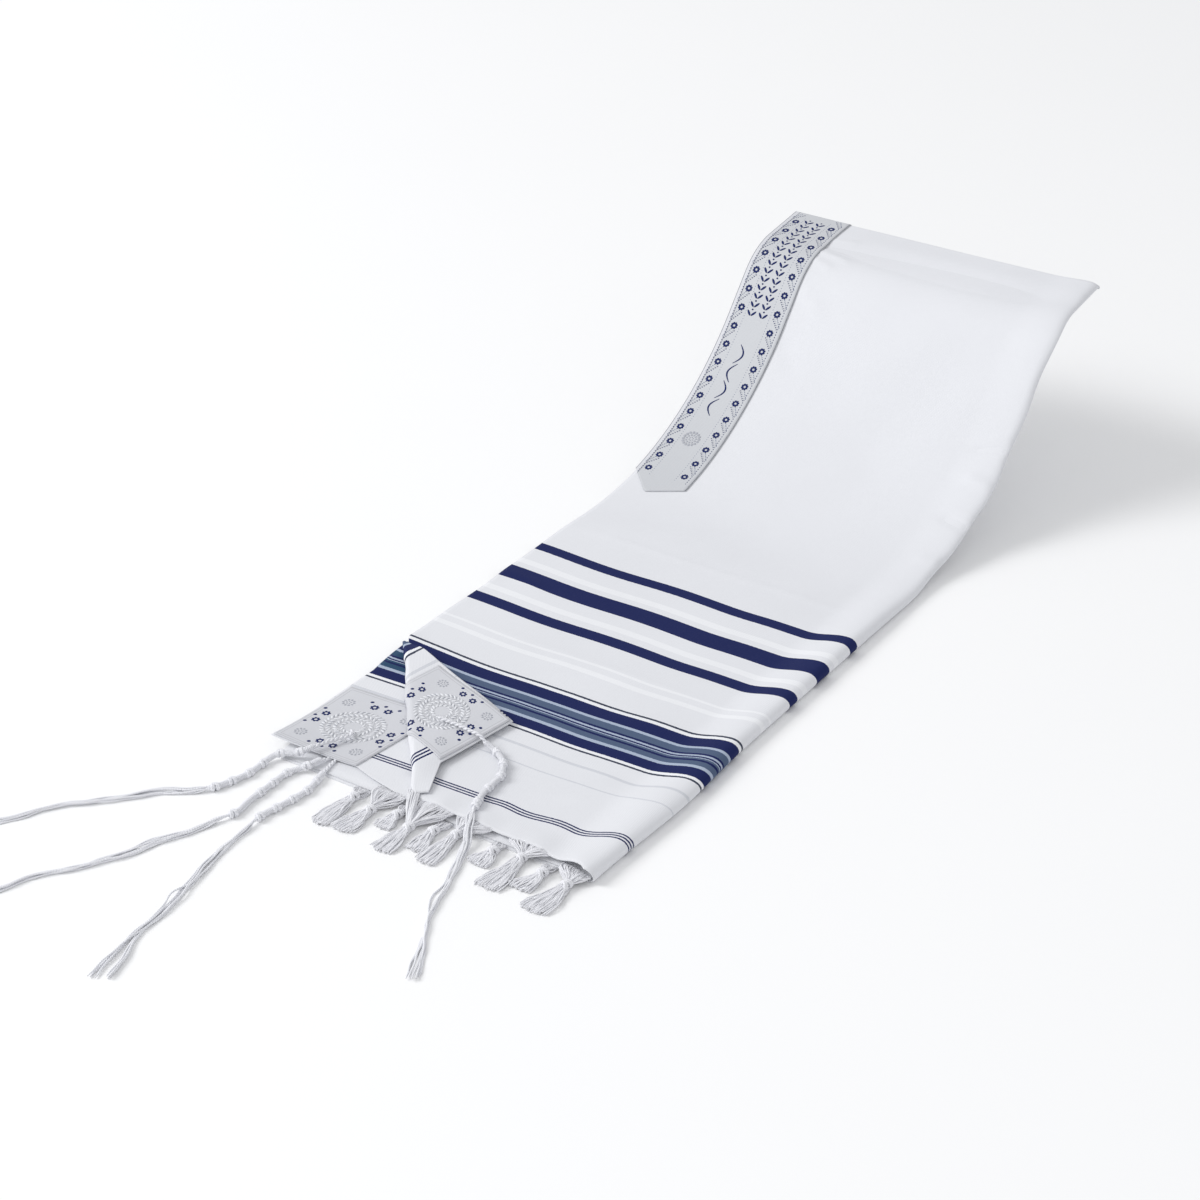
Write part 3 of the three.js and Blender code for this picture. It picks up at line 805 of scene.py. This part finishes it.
def makePatch(name, surface, material, navy, grey):
    across, down = patch["steps"]
    points, uvs, kept = [], [], []
    for j in range(down + 1):
        for i in range(across + 1):
            a, b = patch["width"] * i / across, patch["height"] * j / down
            points.append(surface(a, b, 0))
            uvs.append((a, b))
            kept.append(patchKept(name, a, b))

    def used(i, j):
        low = i * (across + 1) + j
        return all(kept[low + step] for step in (0, 1, across + 1, across + 2))

    base = gridFaces(down + 1, across + 1, used)
    if name == "turned":
        base = [tuple(reversed(face)) for face in base]
    cloth = meshPiece(f"patch_{name}", points, base, material, uvs)
    thicken(cloth, patch["wall"])
    middleA, middleB = patch["middle"]
    work, pale = Embroidery(surface, name == "turned"), Embroidery(surface, name == "turned")
    for angle, near in patch["flowers"]:
        out = Vector((math.cos(math.radians(angle)), math.sin(math.radians(angle))))
        side = Vector((-out.y, out.x))
        for step in (-1, 0, 1):
            place = Vector((middleA, middleB)) + out * (near + 6) + side * 13.5 * step
            if patchKept(name, *place):
                work.stitch(place.x, place.y, 3.5, 2.9, 0.6)
        for step in (-0.5, 0.5):
            place = Vector((middleA, middleB)) + out * near + side * 13.5 * step
            if patchKept(name, *place):
                work.rosette(place.x, place.y, 2.6, 7, 2.9)
    for signA in (-1, 1):
        for signB in (-1, 1):
            a, b = middleA + 29 * signA, middleB + 31 * signB
            if patchKept(name, a, b):
                pale.rosette(a, b, 4.6, 10, 2.5)
                pale.rosette(a, b, 1.9, 5, 1.7)
    for radius, count, lean in patch["leaves"]:
        for k in range(count):
            angle = 2 * math.pi * k / count
            place = (middleA + radius * math.cos(angle), middleB + radius * math.sin(angle))
            if patchKept(name, *place):
                whiteWork[name].stitch(*place, 5.8, 2.2, angle + lean, 0.55)
            # Grey outline strokes beside each raised white leaf, also painted shade that the leaves cast; the
            # corner rosettes are real grey thread.
            beside = (middleA + radius * math.cos(angle + 0.09), middleB + radius * math.sin(angle + 0.09))
            if k % 5 < 3 and patchKept(name, *beside):
                pale.stitch(*beside, 4.6, 1.0, angle + lean, 0.45)
    navyPiece = work.piece(f"patch_{name}_navy", navy)
    greyAndShadePiece = pale.piece(f"patch_{name}_grey", grey)
    return cloth, navyPiece, greyAndShadePiece


def makeEyelet(name, surface, holeShade, thread):
    centre = surface(*patch["hole"], 0.2)
    bpy.ops.mesh.primitive_torus_add(major_segments=20, minor_segments=6, major_radius=2 * mm,
                                     minor_radius=0.6 * mm, location=placed(centre))
    rim = bpy.context.object
    rim.name = f"patch_{name}_eyelet"
    bpy.ops.object.transform_apply(location=True, rotation=True, scale=True)
    rim.data.uv_layers[0].name = "weave"
    rim.data.materials.append(thread)
    rim.data.shade_smooth()
    # The dark disc over the hole is painted shade, standing for the shaded inside of the hole.
    spot = Embroidery(surface, name == "turned")
    spot.stitch(*patch["hole"], 3.6, 3.6, 0, 0.25)
    return rim, spot.piece(f"patch_{name}_hole", holeShade)


neck = {
    "edges": (-167.3, -104), "end": [(-167.3, 547), (-140, 519.5), (-104, 537)], "lift": 1.1, "wall": 0.7,
    "rows": 150, "columns": 20, "pitch": 20.3, "firstRosette": 553, "rosetteCount": 19,
    "rosetteAt": ((-156.2, 0), (-116, 1.6)),  # place across, and how far the row is shifted along
    "middle": -137.5, "wave": (636, 719), "waveBend": 5.8, "crown": 603,
    "ornament": (748, 893), "leafRows": (-143.6, -130.6), "leafPitch": 9.2,
}


def neckFront(x):
    return along(neck["end"], x, True)


def neckSurface(a, b, lift):  # a across from the open edge, b along the cloth
    x = neck["edges"][0] + a
    place = min(b, halfLength)
    height = neck["lift"] + lift + creaseHeight(x, place) * smooth(0, 10, a) * 0.6
    over = b - halfLength
    if over > 0:  # round the fold at the far end
        turn = min(over / 4.2, 2.5)
        middle = -strip["stack"] / 2
        ahead = (strip["endReach"] + neck["lift"] + lift) * math.sin(turn)
        return stripPoint(x, halfLength, middle + (height - middle) * math.cos(turn), ahead)
    return stripPoint(x, place, height)


def makeNeckband(material, navy, grey, steel):
    width = neck["edges"][1] - neck["edges"][0]
    points, uvs = [], []
    for i in range(neck["rows"] + 9):
        for j in range(neck["columns"] + 1):
            a = width * j / neck["columns"]
            front = neckFront(neck["edges"][0] + a)
            b = mix(front, halfLength, min(i / (neck["rows"] - 1), 1)) + max(0, i - neck["rows"] + 1) * 0.75
            points.append(neckSurface(a, b, 0))
            uvs.append((a, b))
    grid = gridFaces(neck["rows"] + 9, neck["columns"] + 1)
    band = meshPiece("neckband_cloth", points, grid, material, uvs)
    thicken(band, neck["wall"])
    work, pale, mid = Embroidery(neckSurface), Embroidery(neckSurface), Embroidery(neckSurface)
    for row, shift in neck["rosetteAt"]:
        a = row - neck["edges"][0]
        for k in range(neck["rosetteCount"]):
            b = neck["firstRosette"] + shift + neck["pitch"] * k
            if b < neckFront(row) + 5 or b > halfLength + 1:
                continue
            work.rosette(a, b, 2.55, 8, 3.0)
            outer = -1 if row < neck["middle"] else 1
            for dot in range(6):  # slanted rows of dots between the rosettes
                work.stitch(a + outer * (5.2 - dot * 1.5), b + 5.4 + dot * 1.9, 1.5, 1.1, 0.9, 0.2)
                pale.stitch(a + outer * (6.6 - dot * 1.5), b + 5.8 + dot * 1.9, 1.2, 1.0, 0.9, 0.2)
                mid.stitch(a + outer * (7.4 - dot * 1.1), b + 7.6 + dot * 1.7, 1.3, 1.0, 0.9, 0.2)
            for dot in range(7):
                work.stitch(a + outer * 6.6, b - 8.6 + dot * 2.9, 1.5, 1.0, 1.57, 0.2)
                mid.stitch(a - outer * 6.2, b - 8 + dot * 2.9, 0.9, 0.7, 1.57, 0.15)
    low, high = neck["wave"]
    centre = neck["middle"] - neck["edges"][0]
    for k in range(4):
        for step in range(15):
            part = step / 14
            b = mix(low, high, (k + part * 0.94) / 4)
            bend = neck["waveBend"] * (1 if k % 2 else -1)
            a = centre + bend * (math.sin(math.pi * part) - 0.36)
            slope = bend * math.pi * math.cos(math.pi * part) / ((high - low) / 4)
            work.stitch(a, b, 2.9, 0.9 + 1.2 * math.sin(math.pi * part), math.atan2(1, slope), 0.3)
    for ring, petals, petal in ((8.2, 16, 3.4), (5.0, 11, 2.6), (2.1, 6, 1.8)):
        pale.rosette(centre, neck["crown"], ring, petals, petal)
    low, high = neck["ornament"]
    for row in neck["leafRows"]:  # a plain leaf border
        a = row - neck["edges"][0]
        for k in range(int((high - low) / neck["leafPitch"])):
            b = low + 3 + neck["leafPitch"] * k
            for side in (-1, 1):
                work.stitch(a + side * 2.6, b + 1.4, 7.4, 2.5, math.pi / 2 - side * 0.7, 0.3)
            work.stitch(a, b + 5.4, 2.2, 1.9, 0, 0.3)
    details = [work.piece("neckband_navy", navy), pale.piece("neckband_rosette", grey)]
    return band, details + [mid.piece("neckband_dots", steel)]


# Each tassel: where its strands leave the hem, its knot and its end, then width, flare and height at the hem.
tassels = {
    "upper_1": ((-33, -15), (-33, -43), (-38, -75), 30, 19, 4.4),
    "upper_2": ((10, -13), (7, -45), (5, -79), 36, 17, 7),
    "upper_3": ((48, -14), (44, -32), (43, -73), 34, 17, 6.6),
    "upper_4": ((102, -17), (104, -29), (101, -73), 40, 22, 7),
    "upper_5": ((149, -26), (152, -38), (147, -77), 30, 23, 6),
    "lower_1": ((-56, -22.5), (-55, -36), (-58, -77), 14, 15, 2.2),
    "lower_2": ((-12, -22.5), (-11, -36), (-13, -54), 12, 15, 2.2),
    "lower_3": ((26, -22.5), (26, -38), (26, -64), 12, 15, 2.2),
    "lower_4": ((78, -22.5), (80, -34), (78, -52), 12, 18, 2.2),
    "lower_5": ((127, -24.5), (128, -36), (123, -60), 12, 19, 2.2),
}
fringe = {
    "strands": {"upper": 56, "lower": 30}, "tailStrands": 84, "thread": 0.55, "low": 0.7,
    "bunch": {"upper_2": 26},  # yarn gathered in from the turned corner's end
    "knot": ((1.9, -1.2, 1.9, 3.4), (-1.9, 1.4, 2.2, 3.2)),  # lean, shift, turns and radius of each winding
}


def makeTassel(name, material, seed):
    chance = random.Random(seed)
    tubes = Tubes()
    root, knot, end = (Vector(place) for place in tassels[name][:3])
    width, flare, high = tassels[name][3:]
    hem = name.split("_")[0]
    count = fringe["strands"][hem]
    for k in range(count):
        share = (k + 0.5) / count - 0.5
        x0 = root.x + width * share + chance.uniform(-0.4, 0.4)
        onTop = hem == "upper" and x0 > topHem[0][0]
        y0 = (along(topHem, x0, True) if onTop else root.y) + chance.uniform(1.5, 4)
        z0 = strip["stack"] - 1.2 + along(hemLift, x0) if onTop else high - 0.5
        belly = chance.uniform(-1, 2.2) + 1.2 * math.sin(share * 11 + seed)
        level = chance.uniform(-1.8, 1.8)
        slack, soon = chance.uniform(0.4, 1.3), chance.uniform(0, 0.25)
        run = []
        for i in range(13):
            t = i / 12
            gather = smooth(soon, 0.85 + soon / 3, t)
            x = mix(x0, knot.x + share * 3.6, gather)
            x += slack * math.sin(7 * t + k * 2.1) * math.sin(math.pi * t)
            y = mix(y0, knot.y, t)
            z = mix(z0, 4.0 + level, smooth(0.3, 1, t)) + belly * math.sin(math.pi * t)
            run.append((x, y, max(z, 0.75)))
        tubes.add(run, fringe["thread"] * 1.1, 5)
    for k in range(fringe["bunch"].get(name, 0)):
        run = []
        start = Vector((-19 + chance.uniform(-5, 6), -3 + chance.uniform(-4, 3), chance.uniform(4.5, 8.2)))
        for i in range(13):
            t = i / 12
            gathered = Vector((knot.x + chance.uniform(-0.2, 0.2) + (k % 5 - 2) * 0.7, knot.y, 4.6))
            place = start.lerp(gathered, t)
            place.z += (2.4 + 0.06 * k) * math.sin(math.pi * t)
            place.x += (k % 7 - 3) * 0.8 * math.sin(math.pi * t)
            run.append(place)
        tubes.add(run, fringe["thread"] * 1.3, 5)
    ahead = Vector((end.x - knot.x, end.y - knot.y, 0)).normalized()
    for lean, shift, turns, size in fringe["knot"]:
        centre = (knot.x + ahead.x * shift, knot.y + ahead.y * shift, 4.4)
        tubes.winding(centre, ahead, size, 1.25, turns, 1.7, 7, 0.9, lean)
    for k in range(fringe["tailStrands"]):
        share = (k + 0.5) / fringe["tailStrands"] - 0.5
        spread = share * flare + chance.uniform(-1, 1)
        reach = chance.uniform(0.9, 1.03) - 0.12 * abs(share)
        sway = chance.uniform(-1.3, 1.3)
        start = Vector((chance.uniform(-2.3, 2.3), 0, chance.uniform(-1.7, 1.7)))
        level = chance.uniform(0.75, 4.6)
        run = []
        for i in range(11):
            t = i / 10
            x = mix(knot.x + start.x, mix(knot.x, end.x, t) + spread, smooth(-0.25, 0.85, t))
            y = mix(knot.y, knot.y + (end.y - knot.y) * reach, t)
            z = mix(3.9 + start.z, level * (1 - 0.45 * t) + 0.4, smooth(0, 0.75, t))
            z += 0.5 * math.sin(7 * t + k * 1.7)
            run.append((x + sway * math.sin(5 * t + k), y, max(z, fringe["low"])))
        tubes.add(run, fringe["thread"], 5)
    return tubes.piece(f"fringe_strands_{name}", material)


# Each cord's route in metres, from its hole to its end. A point with no height lies on the floor.
cords = {
    "tzitzit_1": {
        "route": [
            (-0.1108, 0.0337, 0.0096), (-0.107, 0.0264, 0.0102), (-0.111, 0.017, 0.0108),
            (-0.1155, 0.005, 0.0116), (-0.12, -0.008, 0.012), (-0.1255, -0.0145, 0.0096),
            (-0.134, -0.0185, 0.0072), (-0.142, -0.022, 0.006), (-0.146, -0.03, 0.0042), (-0.1466, -0.041),
            (-0.147, -0.057), (-0.151, -0.071), (-0.156, -0.084), (-0.167, -0.097), (-0.182, -0.107),
            (-0.194, -0.117), (-0.204, -0.131), (-0.215, -0.144), (-0.227, -0.157), (-0.24, -0.169),
            (-0.25, -0.183), (-0.257, -0.198), (-0.266, -0.212), (-0.278, -0.223),
        ],
        "thin": 44, "knots": (55, 72, 90, 107, 124, 139), "bunch": 139, "bow": (160, 6.5), "fork": 0,
    },
    "tzitzit_2": {
        "route": [
            (-0.104, 0.003, 0.003), (-0.1065, -0.006, 0.0044), (-0.1085, -0.013, 0.0062),
            (-0.111, -0.021, 0.006), (-0.117, -0.028, 0.0036), (-0.1215, -0.038), (-0.1215, -0.053),
            (-0.1214, -0.07), (-0.121, -0.086), (-0.119, -0.101), (-0.124, -0.115), (-0.1287, -0.129),
            (-0.1335, -0.143), (-0.14, -0.155), (-0.1468, -0.167), (-0.1507, -0.181), (-0.156, -0.194),
            (-0.162, -0.206), (-0.169, -0.22), (-0.178, -0.233), (-0.188, -0.245), (-0.196, -0.259),
            (-0.201, -0.275), (-0.209, -0.289),
        ],
        "thin": 15, "knots": (28, 46, 63, 79, 114), "bunch": 114, "bow": (221, 5.5), "fork": 0,
    },
    "tzitzit_3": {
        "route": [
            (-0.101, 0.001, 0.003), (-0.0985, -0.012, 0.0036), (-0.096, -0.0246, 0.0036), (-0.094, -0.035),
            (-0.092, -0.046), (-0.0932, -0.061), (-0.0965, -0.079), (-0.0998, -0.097), (-0.0984, -0.115),
            (-0.097, -0.135), (-0.0945, -0.153), (-0.092, -0.171), (-0.088, -0.19), (-0.084, -0.209),
            (-0.0815, -0.227), (-0.08, -0.246), (-0.0783, -0.265), (-0.074, -0.282), (-0.07, -0.299),
            (-0.066, -0.318),
        ],
        "thin": 24, "knots": (34, 50, 66, 83, 100), "bunch": 100, "bow": (214, 7), "fork": 7.5,
    },
    "tzitzit_4": {
        "route": [
            (-0.055, 0.0792, 0.0178), (-0.04, 0.08, 0.017), (-0.027, 0.0796, 0.0164),
            (-0.014, 0.079, 0.0156), (-0.006, 0.0776, 0.0114), (0.004, 0.0754, 0.0091),
            (0.015, 0.0695, 0.009), (0.0235, 0.06, 0.009), (0.0295, 0.048, 0.009), (0.031, 0.034, 0.009),
            (0.032, 0.022, 0.009), (0.036, 0.007, 0.009), (0.043, -0.01, 0.009), (0.05, -0.023, 0.0084),
            (0.057, -0.036, 0.006), (0.0626, -0.051, 0.0036), (0.069, -0.07), (0.076, -0.089),
            (0.0815, -0.106), (0.088, -0.124), (0.097, -0.141), (0.106, -0.157), (0.115, -0.173),
            (0.125, -0.191),
        ],
        "thin": 50, "knots": (64, 82, 100, 119, 139, 145), "bunch": 145, "bow": (262, 6), "fork": 5,
    },
}
cordSize = {"bundle": 12 * mm, "thread": 0.8, "stem": 1.9, "wrap": 0.62, "wrapPitch": 1.35, "strands": 8,
            "floor": 0.0033, "knot": (2.9, 1.05, 1.7, 1.2, 7, 0.95), "widest": 7.8}


def smoothRun(points, step):  # an even run through the points, as a flexible cord takes
    points = [Vector(p) for p in points]
    ends = [points[0] * 2 - points[1]] + points + [points[-1] * 2 - points[-2]]
    fine = []
    for a, b, c, d in zip(ends, ends[1:], ends[2:], ends[3:]):
        for k in range(20):
            t = k / 20
            fine.append(0.5 * (2 * b + (c - a) * t + (2 * a - 5 * b + 4 * c - d) * t * t
                               + (3 * b - a - 3 * c + d) * t ** 3))
    fine.append(points[-1])
    lengths = [0.0]
    for a, b in zip(fine, fine[1:]):
        lengths.append(lengths[-1] + (b - a).length)
    count = int(lengths[-1] / step)
    even, index = [], 0
    for k in range(count + 1):
        target = lengths[-1] * k / count
        while index < len(fine) - 2 and lengths[index + 1] < target:
            index += 1
        span = max(lengths[index + 1] - lengths[index], 1e-9)
        even.append(fine[index].lerp(fine[index + 1], (target - lengths[index]) / span))
    return even, lengths[-1]


def makeCord(name, material, seed):
    chance = random.Random(seed)
    entry = cords[name]
    route = [(*point, cordSize["floor"])[:3] for point in entry["route"]]
    run, length = smoothRun([Vector(point) / mm for point in route], 1.5)
    tubes = Tubes()
    thin, stemEnd = entry["thin"], entry["bunch"]

    def spot(distance):
        place = min(max(distance / length, 0), 0.9999) * (len(run) - 1)
        return run[int(place)].lerp(run[int(place) + 1], place % 1)

    def heading(distance):
        return (spot(distance + 3) - spot(distance - 3)).normalized()

    def helix(start, end, size, pitch, phase, perTurn):
        line = []
        count = int((end - start) / pitch * perTurn)
        for step in range(count + 1):
            distance = mix(start, end, step / count)
            ahead = heading(distance)
            side = ahead.cross(Vector((0, 0, 1))).normalized()
            angle = phase + 2 * math.pi * step / perTurn
            line.append(spot(distance) + side * size * math.cos(angle)
                        + side.cross(ahead) * size * math.sin(angle))
        return line

    for phase in (0, math.pi):  # plain strings over the patch, twisted together
        if thin:
            tubes.add(helix(0, thin + 4, 0.85, 9, phase, 12), 0.95, 7)
    tubes.add(helix(thin, stemEnd + 2, 0, 15, 0, 10), cordSize["stem"], 10)
    tubes.add(helix(thin, stemEnd, cordSize["stem"] + 0.25, cordSize["wrapPitch"], 0, 9), cordSize["wrap"], 5)
    for distance in entry["knots"]:
        ahead = heading(distance)
        for shift, lean in ((-1.5, 0.9), (1.3, -0.9)):
            centre = spot(distance) + ahead * shift
            tubes.winding(centre, ahead, *cordSize["knot"], lean)
    # the loose strings after the last knot
    bow, bowSize = entry["bow"]
    for k in range(cordSize["strands"]):
        phase = 2 * math.pi * k / cordSize["strands"]
        pace = chance.uniform(52, 96) * (1 if k % 2 else -1)
        reach = length - (chance.uniform(1, 9) if k > 2 else 0.4 * k)
        wide = chance.uniform(2.4, 4.6)
        wobble = chance.uniform(0, 6)
        fork = entry["fork"] * (1 if k < 4 else -1)
        string = []
        for i, point in enumerate(run):
            distance = i * length / (len(run) - 1)
            if distance < stemEnd - 3 or distance > reach:
                continue
            ahead = heading(distance)
            side = ahead.cross(Vector((0, 0, 1))).normalized()
            opened = smooth(stemEnd - 2, stemEnd + 16, distance)
            tight = 0.62 + 0.38 * math.sin(distance / 27 + wobble * 0.3)
            angle = phase + distance / pace * 2
            out = wide * opened * tight * math.cos(angle) + 1.3 * (1 - opened) * math.cos(phase)
            if k == 2:
                out += bowSize * math.exp(-(((distance - bow) / 16) ** 2))
            out += fork * smooth(length - 75, length - 12, distance) * 0.8
            out += 0.35 * math.sin(distance / 4.1 + wobble * 3)
            out = max(-cordSize["widest"], min(cordSize["widest"], out))
            rise = 1.5 * math.sin(angle) * opened + 1.2 * (1 - opened) * math.sin(phase)
            settle = -1.5 * smooth(stemEnd + 4, stemEnd + 30, distance) if point.z < 6 else 0
            place = point + side * out + Vector((0, 0, rise + settle))
            place.z = max(place.z, cordSize["thread"] + 0.05)
            string.append(place)
        tubes.add(string, lambda t: cordSize["thread"] * (1 - 0.35 * smooth(0.97, 1, t)), 6)
    piece = tubes.piece(f"{name}_strings", material)
    finishPiece(piece, [name])
    path = [placed(p) for p in run[:-4:3] + [run[-4]]]  # the uneven ends run a little past it
    length * mm
    print(name, "is", round(length), "mm long,", len(piece.data.polygons), "faces")
    return piece


makeStage()
wool = clothMaterial("striped_wool", {})
# The under layers use a copy of the wool whose steel stripes are painted darker, as painted shade.
shadedUnderWool = clothMaterial("striped_wool_under_shaded", {"steel": "steel_shaded"})
band = bandMaterial()
brocade = patchMaterial()
yarn = yarnMaterial("white_yarn", colour(247, 247, 250), colour(214, 215, 222), sheen=0.1)
cordYarn = yarnMaterial("cord_yarn", colour(248, 248, 251), colour(206, 208, 216), 2.2, 0.1)
navyThread = yarnMaterial("navy_thread", colour(36, 50, 104), colour(24, 34, 80))
greyThread = yarnMaterial("grey_thread", colour(184, 186, 193), colour(156, 159, 168))
steelThread = yarnMaterial("steel_thread", colour(104, 116, 146), colour(84, 96, 126))
whiteThread = yarnMaterial("white_thread", colour(240, 241, 244), colour(214, 216, 222))
darkHole = yarnMaterial("hole_shade", colour(40, 44, 58), colour(24, 26, 36))

for number in range(1, 5):
    makeCord(f"tzitzit_{number}", cordYarn, 40 + number)

stitchShape = modelStitch()
outer = stripSheet("outer_cloth", 0, outerFront, strip["step"], strip["step"], 30, 25, True, wool)
finishPiece(outer, ["cloth_top"])
inner = stripSheet("inner_cloth", 1.35, innerFront, 9, 9, 14, 21, False, shadedUnderWool)
finishPiece(inner, ["cloth_under_layers"])
print("folded cloth made")

turnedCorner = finishPiece(makeTurnedCorner(wool), ["cloth_turned_corner"])
secondPly = finishPiece(makeSecondPly(shadedUnderWool), ["cloth_second_layer"])
print("corners made")

whiteWork = {"second": Embroidery(secondPatchSurface), "turned": Embroidery(turnedPatchSurface, True)}
patches = {}
for name, surface, node in (("second", secondPatchSurface, "corner_patch_second"),
                            ("turned", turnedPatchSurface, "corner_patch_turned")):
    cloth, navyWork, greyAndShadeWork = makePatch(name, surface, brocade, navyThread, greyThread)
    whitePiece = whiteWork[name].piece(f"patch_{name}_white", whiteThread)
    rim, hole = makeEyelet(name, surface, darkHole, whiteThread)
    finishPiece(cloth, [node])
    details = [navyWork, greyAndShadeWork, whitePiece, rim, hole]
    for piece in details:
        finishPiece(piece, [])
    patches[name] = (cloth, details)
print("patches made")

neckCloth, neckWork = makeNeckband(band, navyThread, greyThread, steelThread)
finishPiece(neckCloth, ["neckband"])
for piece in neckWork:
    finishPiece(piece, [])
print("neckband made")

for index, name in enumerate(tassels):
    finishPiece(makeTassel(name, yarn, 70 + index), [f"fringe_{name}"])
print("fringe made")

# the two folded sheets are the whole cut, 0.67 by 1.80 m
for name, rest in (("second", "second_ply_corner"), ("turned", "turned_corner")):
    cloth, details = patches[name]
